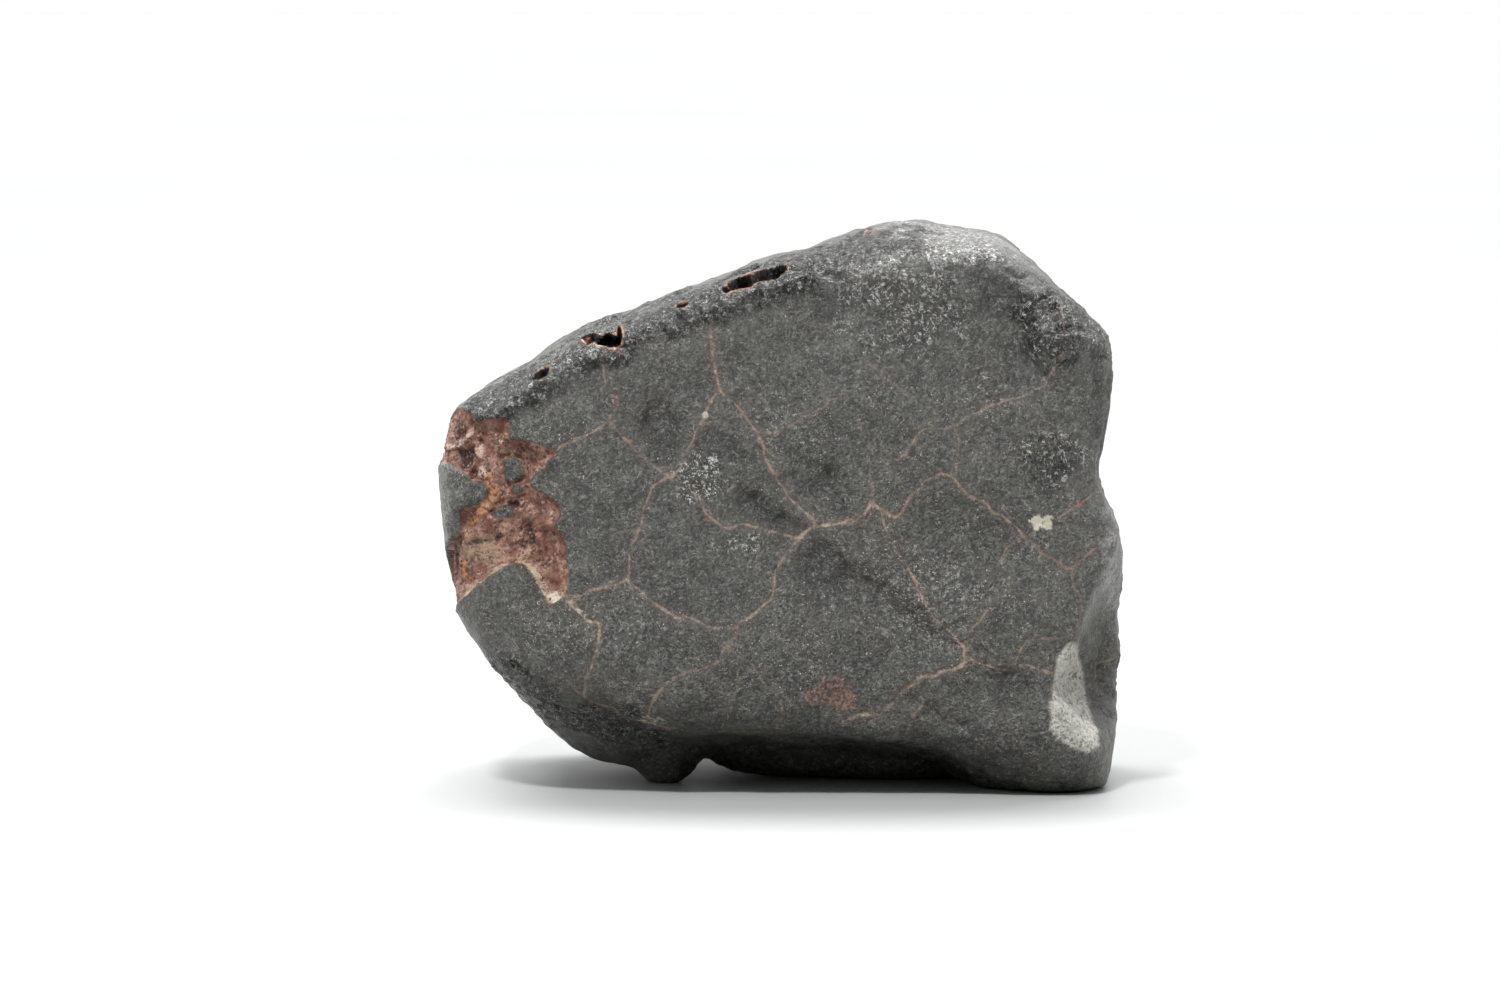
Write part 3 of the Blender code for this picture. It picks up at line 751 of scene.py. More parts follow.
    def pale_field(self, points, normals):
        pixels = self.view.pixels(points)
        distance = polygon_distance(np.array(PALE_PATCH, float), pixels[:, 0], pixels[:, 1])
        seen = smooth_step(-0.15, 0.05, self.view.facing(points, normals))
        return smooth_step(-1.5, 1.5, distance + 1.5 * waves(points, 0.5, 46)) * seen


# The stone


def smooth_form(node):
    """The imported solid, subdivided smooth for measuring on, and an even net over it."""
    mesh = node.data.copy()
    work = bmesh.new()
    work.from_mesh(mesh)
    bmesh.ops.remove_doubles(work, verts=work.verts, dist=0.002 * MM)
    bmesh.ops.recalc_face_normals(work, faces=work.faces)
    work.to_mesh(mesh)
    work.free()
    draft = bpy.data.objects.new("form_draft", mesh)
    bpy.context.scene.collection.objects.link(draft)
    rounding = draft.modifiers.new("Rounding", "SUBSURF")
    rounding.levels = 2
    rounding.render_levels = 2
    found = []
    for _ in range(2):
        graph = bpy.context.evaluated_depsgraph_get()
        made = bpy.data.meshes.new_from_object(draft.evaluated_get(graph))
        found.append(mesh_arrays(made))
        bpy.data.meshes.remove(made)
        if len(found) == 1:
            even = draft.modifiers.new("Even net", "REMESH")
            even.mode = "VOXEL"
            even.voxel_size = NET_COARSE * MM
    bpy.data.objects.remove(draft)
    bpy.data.meshes.remove(mesh)
    (form_points, form_faces), (points, faces) = found
    form = BVHTree.FromPolygons(form_points.tolist(), form_faces.tolist())
    return form, relaxed(points, faces, 3), faces


def fine_net(form, points, faces, stone_map, view):
    """The net, cut finer where the photograph looks and beside cracks and edges."""
    points = nearest_on(form, points)
    normals = net_normals(points, faces)
    seen = smooth_step(-0.25, 0.0, view.facing(points, normals))
    wanted = NET_COARSE + (NET_FRONT - NET_COARSE) * seen
    points, faces = refined(points, faces, np.where(seen > 0.5, wanted, NET_COARSE * 2))
    points = nearest_on(form, relaxed(points, faces, 2))
    normals = net_normals(points, faces)
    gap, _, _, force = stone_map.crack_field(points, normals)
    inside = stone_map.break_field(points, normals)[0]
    pit = stone_map.pit_field(points, normals)[0]
    near = (gap * HIDDEN_HALF < FINE_REACH) & (force > 0.25)
    near |= (inside > -0.45) | (pit > -0.40)
    points, faces = refined(points, faces, np.where(near, NET_FINE, FAR))
    return nearest_on(form, relaxed(points, faces, 1)), faces


def crust_relief(points, marks):
    """The height of the crust's own unevenness, in mm."""
    rough = marks["rough"]
    smooth = 1 - 0.45 * marks["gloss"]
    height = 0.090 * waves(points, 2.3, 1) + 0.075 * smooth * waves(points, 0.95, 2)
    height += 0.034 * smooth * waves(points, 0.45, 3)
    # Wrinkles of molten crust, drawn out along the brow.
    drawn = points * np.array((0.50, 1.0, 1.25)) + 0.7 * waves(points, 2.2, 4)[:, None]
    height += rough * (0.34 * (0.5 - np.abs(waves(drawn, 1.0, 5))) + 0.12 * waves(drawn, 0.50, 6))
    near, own = cells(points, 1.15, 7)
    dimple = smooth_step(0.36, 0.05, near) * (own > 0.15)
    height -= (0.05 + 0.30 * rough) * dimple
    # Sharp little folds inside the hollows.
    folded = points * np.array((0.8, 1.0, 0.8)) + 0.35 * waves(points, 1.3, 8)[:, None]
    height -= 0.22 * marks["dark"] * smooth_step(0.24, 0.0, np.abs(waves(folded, 1.5, 9)))
    return height - 0.16 * marks["dark"]


def broken_relief(points, marks):
    """The height of the broken stone's lumps and hollows, in mm."""
    height = 0.11 * waves(points, 1.4, 11) + 0.13 * waves(points, 0.62, 12)
    height += 0.07 * waves(points, 0.30, 13)
    near, own = cells(points, 0.75, 14)
    height += 0.12 * smooth_step(0.45, 0.0, near) * (own > 0.0)
    return height + 0.22 * marks["bone"] - 0.42 * marks["umber_and_painted_shade"]


def worked_stone(points, faces, stone_map):
    """Moves the net to the stone's real surface and gives the fields that colour it."""
    normals = net_normals(points, faces)
    marks = {kind: stone_map.mark_field(kind, points, normals) for kind in MARKS}
    hidden = smooth_step(0.05, -0.15, stone_map.view.facing(points, normals))
    patchy = waves(points, 6.0, 51)
    marks["rough"] = np.maximum(marks["rough"], hidden * smooth_step(0.05, 0.45, patchy))
    marks["dust"] = np.maximum(marks["dust"], 0.5 * hidden * smooth_step(0.0, 0.5, waves(points, 5.0, 52)))
    marks["gloss"] = np.maximum(marks["gloss"], 0.6 * hidden * smooth_step(0.15, 0.5, -patchy))
    marks["rust"] = np.maximum(marks["rust"], 0.8 * hidden * smooth_step(0.42, 0.60, waves(points, 2.6, 53)))
    marks["cream"] = np.maximum(marks["cream"], hidden * smooth_step(0.62, 0.75, waves(points, 1.8, 54)))
    gap, way, tone, force = stone_map.crack_field(points, normals)
    inside, depth, rough = stone_map.break_field(points, normals)
    pit, pit_depth = stone_map.pit_field(points, normals)
    pale = stone_map.pale_field(points, normals)
    broken = smooth_step(-0.03, 0.16, inside)
    height = (1 - broken) * crust_relief(points, marks)
    height += broken * (rough * broken_relief(points, marks) - depth)
    height += 0.07 * np.exp(-(((inside + 0.16) / 0.16) ** 2))
    crack_depth = bpy.context.scene.meteorite_crust.crack_depth / MM
    height -= (1 - broken) * force * crack_depth * (np.exp(-(gap**2)) - 0.25 * np.exp(-((gap - 2.2) ** 2)))
    height -= pit_depth * smooth_step(-0.15, 0.30, pit)
    height += 0.05 * pale * waves(points, 0.35, 15)
    # The flats that the stone rests on stay flat.
    height *= smooth_step(0.02, 0.6, points[:, 2])
    points = points + height[:, None] * normals
    points[:, 2] = np.maximum(points[:, 2], 0.0)
    fields = {
        "crack_gap": gap,
        "crack_way": way,
        "crack_tone": tone,
        "crack_force": force,
        "break_inside": np.clip(inside, -3, 3),
        "pit_inside": np.clip(pit, -3, 3),
        "pale": pale,
        **marks,
    }
    return points, fields


def mesh_of(name, points, faces, fields):
    """A smooth-shaded mesh in metres with a value of each field at every point."""
    mesh = bpy.data.meshes.new(name)
    mesh.from_pydata((points * MM).tolist(), [], faces.tolist())
    mesh.shade_smooth()
    for title, values in fields.items():
        if values.ndim == 1:
            attribute = mesh.attributes.new(title, "FLOAT", "POINT")
            attribute.data.foreach_set("value", values.astype(np.float32))
        else:
            attribute = mesh.attributes.new(title, "FLOAT_VECTOR", "POINT")
            attribute.data.foreach_set("vector", values.astype(np.float32).ravel())
    return mesh


# Node trees


class Wiring:
    """Adds nodes to one tree, in columns, and joins them."""

    def __init__(self, tree):
        self.tree = tree
        self.count = 0

    def node(self, kind, inputs=None, **settings):
        made = self.tree.nodes.new(kind)
        made.location = (220 * (self.count // 5), -190 * (self.count % 5))
        self.count += 1
        for name, value in settings.items():
            setattr(made, name, value)
        for key, value in (inputs or {}).items():
            if isinstance(value, bpy.types.NodeSocket):
                self.tree.links.new(value, made.inputs[key])
            else:
                made.inputs[key].default_value = value
        return made

    def link(self, start, end):
        self.tree.links.new(start, end)

    def maths(self, operation, first, second=0.0, clamp=False):
        made = self.node("ShaderNodeMath", {0: first, 1: second}, operation=operation, use_clamp=clamp)
        return made.outputs[0]

    def plus(self, first, second):
        return self.maths("ADD", first, second)

    def minus(self, first, second):
        return self.maths("SUBTRACT", first, second)

    def times(self, first, second, clamp=False):
        return self.maths("MULTIPLY", first, second, clamp)

    def vector(self, operation, first, second=(0.0, 0.0, 0.0)):
        return self.node("ShaderNodeVectorMath", {0: first, 1: second}, operation=operation).outputs[0]

    def scaled(self, vector, scale):
        return self.node("ShaderNodeVectorMath", {0: vector, "Scale": scale}, operation="SCALE").outputs[0]

    def random_vector(self, low, high, seed):
        inputs = {"Min": low, "Max": high, "Seed": seed}
        return self.node("FunctionNodeRandomValue", inputs, data_type="FLOAT_VECTOR").outputs[0]

    def mix(self, factor, first, second, blend="MIX"):
        inputs = {0: factor, 6: first, 7: second}
        return self.node("ShaderNodeMix", inputs, data_type="RGBA", blend_type=blend).outputs[2]

    def step(self, value, low, high, out_low=0.0, out_high=1.0):
        """Smoothly from out_low, where the value is low, to out_high, where it is high."""
        inputs = {"Value": value, "From Min": low, "From Max": high, "To Min": out_low, "To Max": out_high}
        return self.node("ShaderNodeMapRange", inputs, interpolation_type="SMOOTHSTEP").outputs[0]

    def noise(self, place, scale, detail=2.0, roughness=0.55, distortion=0.0):
        inputs = {"Vector": place, "Scale": scale, "Detail": detail, "Roughness": roughness}
        inputs["Distortion"] = distortion
        return self.node("ShaderNodeTexNoise", inputs).outputs["Fac"]

    def patches(self, place, scale, detail, roughness, low, high, out_low=0.0, out_high=1.0):
        """Noise with its tones drawn apart into patches."""
        return self.step(self.noise(place, scale, detail, roughness), low, high, out_low, out_high)

    def bump(self, height, depth, normal=None):
        """The normal of a surface that is uneven by a height, of which 1 is the depth in mm."""
        inputs = {"Height": height, "Distance": depth * MM, "Strength": 1.0}
        if normal is not None:
            inputs["Normal"] = normal
        return self.node("ShaderNodeBump", inputs).outputs[0]

    def field(self, name):
        return self.node("ShaderNodeAttribute", attribute_name=name).outputs["Fac"]

    def crack_fields(self, place):
        """What the crack line's group is given."""
        way = self.node("ShaderNodeAttribute", attribute_name="crack_way").outputs["Vector"]
        gap, force = self.field("crack_gap"), self.field("crack_force")
        return {"Place": place, "Way": way, "Gap": gap, "Force": force}

    def group(self, name, inputs):
        """A shared node group, made when it is first used."""
        tree = bpy.data.node_groups.get(name) or GROUP_MAKERS[name]()
        return self.node("ShaderNodeGroup", inputs, node_tree=tree).outputs

    def torn(self, place, kind, breaks):
        """The mask of one kind of mark, with its edge broken up."""
        inputs = {"Place": place, "Mask": self.field(kind), "Breaks per mm": breaks}
        return self.group("ragged_mask", inputs)["Mask"]


def new_group(name, inputs, outputs):
    """An empty shader node group with named sockets: its tree, wiring, inputs and output node."""
    tree = bpy.data.node_groups.new(name, "ShaderNodeTree")
    for way, sockets in (("INPUT", inputs), ("OUTPUT", outputs)):
        for title, kind in sockets.items():
            tree.interface.new_socket(name=title, in_out=way, socket_type="NodeSocket" + kind)
    wiring = Wiring(tree)
    return tree, wiring, wiring.node("NodeGroupInput").outputs, wiring.node("NodeGroupOutput").inputs


def grain_group():
    """Fine mineral grain: a tone, a height, rare bright specks and the tilt of each grain."""
    tree, wiring, given, out = new_group(
        "mineral_grain",
        {"Place": "Vector", "Grains per mm": "Float"},
        {"Tone": "Float", "Height": "Float", "Specks": "Float", "Tilt": "Vector"},
    )
    place, scale = given["Place"], given["Grains per mm"]
    fine = wiring.noise(place, scale, 3.0, 0.65)
    broad = wiring.noise(place, wiring.times(scale, 0.16), 3.0, 0.55)
    grains = wiring.node("ShaderNodeTexVoronoi", {"Vector": place, "Scale": scale}, feature="F1").outputs
    shade = wiring.node("ShaderNodeSeparateColor", {"Color": grains["Color"]}).outputs
    tone = wiring.plus(wiring.times(fine, 1.30), wiring.plus(wiring.times(broad, 0.80), -0.75))
    wiring.link(wiring.plus(wiring.times(shade[0], 0.40), tone), out["Tone"])
    wiring.link(wiring.plus(fine, wiring.times(grains["Distance"], -0.5)), out["Height"])
    core = wiring.step(grains["Distance"], 0.42, 0.22)
    wiring.link(wiring.times(wiring.step(shade[1], 0.86, 0.95), core), out["Specks"])
    wiring.link(wiring.vector("SUBTRACT", grains["Color"], MIDDLE), out["Tilt"])
    return tree


def ragged_group():
    """A soft mask with its edge broken up, as a stain soaks into stone."""
    tree, wiring, given, out = new_group(
        "ragged_mask", {"Place": "Vector", "Mask": "Float", "Breaks per mm": "Float"}, {"Mask": "Float"}
    )
    torn = wiring.noise(given["Place"], given["Breaks per mm"], 4.0, 0.7)
    torn = wiring.times(wiring.minus(torn, 0.5), 1.9)
    whole = wiring.plus(wiring.times(given["Mask"], 0.85), torn)
    wiring.link(wiring.step(whole, 0.40, 0.78), out["Mask"])
    return tree


def crack_group():
    """A crack's line, torn and swollen a little, and the halo of rust beside it."""
    tree, wiring, given, out = new_group(
        "crack_line",
        {"Place": "Vector", "Way": "Vector", "Gap": "Float", "Force": "Float"},
        {"Line": "Float", "Halo": "Float"},
    )
    place, force = given["Place"], given["Force"]
    length = wiring.node("ShaderNodeVectorMath", {0: given["Way"]}, operation="LENGTH").outputs["Value"]
    gap = wiring.maths("MAXIMUM", length, wiring.minus(given["Gap"], 2.0))
    torn = wiring.minus(wiring.noise(place, 7.0, 3.0, 0.7), 0.5)
    swell = wiring.patches(place, 1.1, 3.0, 0.55, 0.3, 0.7, 0.60, 1.6)
    gap = wiring.maths("DIVIDE", wiring.plus(gap, wiring.times(torn, 2.6)), swell)
    faint = wiring.patches(place, 1.9, 3.0, 0.6, 0.34, 0.60, 0.22, 1.10)
    line = wiring.times(wiring.step(gap, 1.15, 0.20), force)
    wiring.link(wiring.times(line, faint, clamp=True), out["Line"])
    wiring.link(wiring.times(wiring.step(length, 7.0, 0.0), force), out["Halo"])
    return tree


GROUP_MAKERS = {"mineral_grain": grain_group, "ragged_mask": ragged_group, "crack_line": crack_group}
# Half of the range of a colour, which centres a noise on nought.
MIDDLE = (0.5, 0.5, 0.5)

# Colours of the finishes: linear red, green and blue, and full cover.
# The black of the painted shade in the hollows and under the stone.
PAINTED_SHADE = (0.004, 0.004, 0.004, 1.0)
WARMTH = (1.0, 0.86, 0.74, 1.0)
# The painted highlight, from its dark grain to its light grain.
PAINTED_HIGHLIGHT_DARK = (0.10, 0.10, 0.10, 1.0)
PAINTED_HIGHLIGHT = (0.46, 0.46, 0.45, 1.0)
# The colour of the painted glints.
PAINTED_GLINT = (0.88, 0.89, 0.87, 1.0)
CHALK_SHADOW = (0.12, 0.11, 0.09, 1.0)
CHALK_GREY = (0.50, 0.49, 0.46, 1.0)
CHALK = (0.72, 0.70, 0.64, 1.0)
STAIN_SHADOW = (0.060, 0.030, 0.024, 1.0)
STAIN = (0.360, 0.190, 0.150, 1.0)
CLAY = (0.42, 0.28, 0.20, 1.0)
# The black of open cracks and of the fold, as painted shade.
CRACK_BLACK = (0.006, 0.006, 0.005, 1.0)
CRACK_HALO = (0.15, 0.10, 0.075, 1.0)
CREAM_SPOT = (0.62, 0.58, 0.47, 1.0)
PIT_RIM = (0.50, 0.29, 0.18, 1.0)
PIT_PAINTED_SHADE = (0.004, 0.003, 0.003, 1.0)
PIT_RUST = (0.12, 0.040, 0.018, 1.0)
DUST_SHADOW = (0.22, 0.19, 0.13, 1.0)
DUST = (0.66, 0.60, 0.46, 1.0)
PAINTED_SPARKLE = (0.60, 0.60, 0.55, 1.0)
DARK_MINERAL = (0.050, 0.026, 0.022, 1.0)
PALE_MINERAL = (0.56, 0.40, 0.32, 1.0)
GRAIN_SHADOW = (0.05, 0.024, 0.020, 1.0)
# The painted shade along the broken edge.
BREAK_LEDGE_SHADE = (0.06, 0.040, 0.032, 1.0)
BREAK_HALO = (0.480, 0.330, 0.220, 1.0)
BREAK_CREAM = (0.66, 0.58, 0.48, 1.0)
GRAIN_DARK = (0.10, 0.060, 0.048, 1.0)
GRAIN_HOLLOW = (0.07, 0.040, 0.03, 1.0)
FLOOR_CLOUD = (0.80, 0.81, 0.82, 1.0)
WHITE = (1.0, 1.0, 1.0, 1.0)
# What the marks on the broken stone are tinted with.
BREAK_TINTS = {
    "tan": (0.340, 0.235, 0.160, 1.0),
    "ochre": (0.520, 0.260, 0.105, 1.0),
    "bone": (0.640, 0.480, 0.400, 1.0),
    # Near black: dark brown stone and painted shade in its pits.
    "umber_and_painted_shade": (0.028, 0.013, 0.012, 1.0),
}


def new_material(name, view_colour):
    material = bpy.data.materials.new(name)
    material.use_nodes = True
    material.node_tree.nodes.clear()
    material.diffuse_color = view_colour
    wiring = Wiring(material.node_tree)
    place = wiring.scaled(wiring.node("ShaderNodeTexCoord").outputs["Object"], 1 / MM)
    return material, wiring, place


def finish_material(wiring, colour, roughness, normal, specular, metallic=0.0):
    inputs = {"Base Color": colour, "Roughness": roughness, "Metallic": metallic, "Normal": normal}
    inputs["Specular IOR Level"] = specular
    shader = wiring.node("ShaderNodeBsdfPrincipled", inputs)
    wiring.link(shader.outputs[0], wiring.node("ShaderNodeOutputMaterial").inputs[0])


def crust_ground(wiring, place, crust, tone):
    """The crust's colour: its grain, painted shade in the hollows and under the stone, warm drifts and
    painted highlights.
    """
    colour = wiring.mix(tone, crust.shadow_colour, crust.light_colour)
    # Painted shade: the dark marks turn the colour towards black, broken up by noise.
    shade = wiring.times(wiring.field("dark"), wiring.patches(place, 1.4, 4.0, 0.65, 0.18, 0.52))
    colour = wiring.mix(wiring.times(shade, 0.62), colour, PAINTED_SHADE)
    warm = wiring.patches(place, 0.35, 3.0, 0.55, 0.45, 0.70, 0.0, 0.5)
    colour = wiring.mix(warm, colour, WARMTH, "MULTIPLY")
    # Painted highlight: lighter where the highlight marks are, broken up by noise.
    uneven = wiring.patches(place, 0.9, 4.0, 0.7, 0.36, 0.60, 0.25, 1.0)
    highlight_colour = wiring.mix(tone, PAINTED_HIGHLIGHT_DARK, PAINTED_HIGHLIGHT)
    return wiring.mix(wiring.times(wiring.field("painted_highlight"), uneven), colour, highlight_colour)


def crust_wrinkles_and_painted_glints(wiring, place, crust, colour, brow, gloss):
    """Thin wrinkles of molten crust, strongest on the brow, with painted glints along them: silvery lines on
    their ridges.
    """
    wrinkle = wiring.noise(place, 1.75, 5.0, 0.70, 1.0)
    wrinkle = wiring.step(wiring.maths("ABSOLUTE", wiring.minus(wrinkle, 0.5)), 0.07, 0.0)
    # Darker towards the crust's darkest tone on the brow, around the painted glints.
    colour = wiring.mix(wiring.step(brow, 0.0, 1.0, 0.10, 0.60), colour, crust.shadow_colour)
    # Painted glints: brightest where the crust is glossy and on the brow.
    bright = wiring.step(wiring.plus(gloss, wiring.times(brow, 0.9)), 0.0, 1.0, 0.20, 0.95)
    bright = wiring.times(bright, wiring.patches(place, 3.0, 4.0, 0.75, 0.46, 0.60))
    painted_glints = wiring.times(wiring.step(wrinkle, 0.35, 0.85), bright)
    return wiring.mix(painted_glints, colour, PAINTED_GLINT), wrinkle


def crust_stains(wiring, place, colour, tone, pale):
    """The chalky pale patch of the flank, and rust stains."""
    chalk = wiring.mix(wiring.patches(place, 2.6, 4.0, 0.75, 0.40, 0.54), CHALK_GREY, CHALK)
    chalk = wiring.mix(wiring.step(tone, 0.30, 0.02, 0.0, 0.7), chalk, CHALK_SHADOW)
    colour = wiring.mix(pale, colour, chalk)
    rust = wiring.mix(wiring.patches(place, 4.2, 3.0, 0.7, 0.42, 0.60), STAIN_SHADOW, STAIN)
    return wiring.mix(wiring.times(wiring.torn(place, "rust", 1.7), 0.85), colour, rust)


def crust_cracks(wiring, place, crust, colour):
    """Cracks filled with rust or cream, or open and painted black as their shade, in a faint halo: the colour
    and their line.
    """
    crack = wiring.group("crack_line", wiring.crack_fields(place))
    tone = wiring.field("crack_tone")
    filling = wiring.mix(wiring.maths("MAXIMUM", tone, 0.0), crust.rust_colour, crust.cream_colour)
    filling = wiring.mix(wiring.patches(place, 4.5, 3.0, 0.55, 0.35, 0.75), filling, CLAY)
    # Painted shade: a tone below nought paints the line black, for open cracks and the fold of a hollow.
    filling = wiring.mix(wiring.step(tone, -0.2, -0.5), filling, CRACK_BLACK)
    colour = wiring.mix(wiring.times(crack["Halo"], 0.25), colour, CRACK_HALO)
    return wiring.mix(crack["Line"], colour, filling), crack["Line"]


def crust_pits(wiring, place, colour):
    """Pits painted dark as their shade, with rust inside and a thin rusty rim: the colour and where the pits
    are.
    """
    pit = wiring.field("pit_inside")
    uneven = wiring.noise(place, 1.6, 2.0)
    rim = wiring.times(wiring.step(pit, -0.34, -0.20), wiring.step(uneven, 0.44, 0.56))
    colour = wiring.mix(rim, colour, PIT_RIM)
    # Painted shade: the inside of a pit is near black, with patches of rust.
    inside = wiring.step(pit, -0.16, -0.06)
    pit_shade_and_rust = wiring.mix(wiring.step(uneven, 0.60, 0.68), PIT_PAINTED_SHADE, PIT_RUST)
    return wiring.mix(inside, colour, pit_shade_and_rust), inside


def crust_dust(wiring, place, colour, gloss, specks):
    """Specks of dust, in the cells that chance picks, and pale mineral specks painted bright as their
    sparkle.
    """
    cell = wiring.node("ShaderNodeTexVoronoi", {"Vector": place, "Scale": 8.5}, feature="F1").outputs
    chance = wiring.node("ShaderNodeSeparateColor", {"Color": cell["Color"]}).outputs
    spread = wiring.patches(place, 1.1, 3.0, 0.7, 0.35, 0.75, -0.12, 0.30)
    lucky = wiring.plus(wiring.times(wiring.field("dust"), 0.36), spread)
    lucky = wiring.plus(wiring.plus(lucky, wiring.times(gloss, 0.16)), chance[0])
    size = wiring.step(chance[1], 0.0, 1.0, 0.16, 0.46)
    speck = wiring.step(wiring.minus(size, cell["Distance"]), 0.0, 0.12)
    speck = wiring.times(wiring.maths("GREATER_THAN", lucky, 1.04), speck)
    colour = wiring.mix(speck, colour, wiring.mix(chance[2], DUST_SHADOW, DUST))
    # Painted sparkle: the pale specks of the grain made bright.
    return wiring.mix(wiring.times(specks, spread), colour, PAINTED_SPARKLE)


def crust_material(crust):
    """Dull black fusion crust with fine grain, cracks, stains, dust and glassy places, and painted shade,
    highlights and glints.
    """
    material, wiring, place = new_material("fusion_crust", crust.light_colour)
    grain = wiring.group("mineral_grain", {"Place": place, "Grains per mm": MM / crust.grain})
    tone = wiring.step(grain["Tone"], 0.20, 0.92)
    brow, gloss, pale = wiring.field("rough"), wiring.field("gloss"), wiring.field("pale")
    colour = crust_ground(wiring, place, crust, tone)
    colour, wrinkle = crust_wrinkles_and_painted_glints(wiring, place, crust, colour, brow, gloss)
    colour = crust_stains(wiring, place, colour, tone, pale)
    colour, line = crust_cracks(wiring, place, crust, colour)
    cream = wiring.torn(place, "cream", 2.6)
    colour = wiring.mix(cream, colour, CREAM_SPOT)
    colour, in_pit = crust_pits(wiring, place, colour)
    colour = crust_dust(wiring, place, colour, gloss, grain["Specks"])

    rough = wiring.step(wiring.maths("MAXIMUM", gloss, brow), 0.0, 1.0, 0.33, 0.20)
    dull = wiring.maths("MAXIMUM", wiring.maths("MAXIMUM", line, cream), pale)
    rough = wiring.plus(rough, wiring.times(dull, 0.35))
    normal = wiring.node("ShaderNodeNewGeometry").outputs["Normal"]
    tilt = wiring.scaled(grain["Tilt"], wiring.step(gloss, 0.0, 1.0, 0.35, 0.90))
    normal = wiring.vector("NORMALIZE", wiring.vector("ADD", normal, tilt))
    peel = wiring.noise(place, 3.6, 4.0, 0.7)
    height = wiring.times(wrinkle, wiring.step(brow, 0.0, 1.0, 0.18, 2.6))
    height = wiring.plus(height, wiring.times(peel, wiring.step(brow, 0.0, 1.0, 1.4, 2.6)))
    height = wiring.plus(height, wiring.times(grain["Height"], 0.9))
    # Little light gets out of a pit: as metal, its dark wall reflects no more than its colour.
    finish_material(wiring, colour, rough, wiring.bump(height, 0.10, normal), 1.0, in_pit)
    return material


def broken_material(stone, crust):
    """Weathered inside of the stone: red-brown, tan and ochre, with dark minerals, and painted shade along
    its edge and in its pits.
    """
    material, wiring, place = new_material("broken_stone", stone.colour)
    grain = wiring.group("mineral_grain", {"Place": place, "Grains per mm": 4.5})
    blotch = wiring.noise(place, 0.75, 4.0, 0.62, 0.4)
    small = wiring.noise(place, 2.6, 4.0, 0.65)
    colour = wiring.mix(wiring.step(blotch, 0.44, 0.66), stone.colour, stone.pale_colour)
    dark = wiring.step(wiring.noise(place, 1.5, 4.0, 0.65, 0.6), 0.54, 0.66)
    colour = wiring.mix(wiring.times(dark, 0.85), colour, DARK_MINERAL)
    for kind, tint in BREAK_TINTS.items():
        colour = wiring.mix(wiring.times(wiring.torn(place, kind, 3.4), 0.88), colour, tint)
    colour = wiring.mix(wiring.step(small, 0.60, 0.74, 0.0, 0.5), colour, PALE_MINERAL)
    colour = wiring.mix(wiring.step(grain["Tone"], 0.60, 0.10, 0.0, 0.75), colour, GRAIN_SHADOW)
    # Painted shade along the broken edge, under the ledge of the crust.
    edge = wiring.step(wiring.plus(wiring.field("break_inside"), wiring.times(small, 0.35)), 0.30, 0.12)
    colour = wiring.mix(wiring.times(edge, 0.45), colour, BREAK_LEDGE_SHADE)

    crack = wiring.group("crack_line", wiring.crack_fields(place))
    halo = wiring.times(crack["Halo"], wiring.step(small, 0.40, 0.60, 0.1, 0.9))
    colour = wiring.mix(halo, colour, BREAK_HALO)
    colour = wiring.mix(crack["Line"], colour, crust.cream_colour)
    colour = wiring.mix(wiring.torn(place, "cream", 2.6), colour, BREAK_CREAM)

    height = wiring.plus(grain["Height"], wiring.times(small, 1.5))
    rough = wiring.step(small, 0.3, 0.7, 0.45, 0.75)
    finish_material(wiring, colour, rough, wiring.bump(height, 0.09), 0.45)
    return material


def grain_material(stone):
    """Single mineral grains: dark, brown and pale ones."""
    material, wiring, place = new_material("mineral_grains", stone.colour)
    grain = wiring.group("mineral_grain", {"Place": place, "Grains per mm": 7.0})
    kind = wiring.node("ShaderNodeTexVoronoi", {"Vector": place, "Scale": 1.7}, feature="F1")
    pick = wiring.node("ShaderNodeSeparateColor", {"Color": kind.outputs["Color"]}).outputs[0]
    colour = wiring.mix(wiring.step(pick, 0.30, 0.35), GRAIN_DARK, stone.colour)
    colour = wiring.mix(wiring.step(pick, 0.70, 0.75), colour, stone.pale_colour)
    colour = wiring.mix(wiring.step(grain["Tone"], 0.2, 0.8, 0.35, 0.0), colour, GRAIN_HOLLOW)
    rough = wiring.step(grain["Tone"], 0.2, 0.8, 0.30, 0.55)
    finish_material(wiring, colour, rough, wiring.bump(grain["Height"], 0.02), 0.5)
    return material


def floor_material(stage):
    """Pale card, which throws less light back at the stone than it shows."""
    material, wiring, place = new_material("pale_floor", stage.floor_colour)
    cloudy = wiring.noise(place, 0.004, 2.0)
    colour = wiring.mix(wiring.step(cloudy, 0.3, 0.7, 0.0, 0.04), stage.floor_colour, FLOOR_CLOUD)
    seen = wiring.node("ShaderNodeLightPath").outputs["Is Camera Ray"]
    colour = wiring.mix(seen, stage.bounce_colour, colour)
    rough = wiring.step(cloudy, 0.3, 0.7, 0.42, 0.46)
    finish_material(wiring, colour, rough, wiring.bump(wiring.noise(place, 1.5, 2.0), 0.0006), 0.3)
    return material


# Grains, by Geometry Nodes


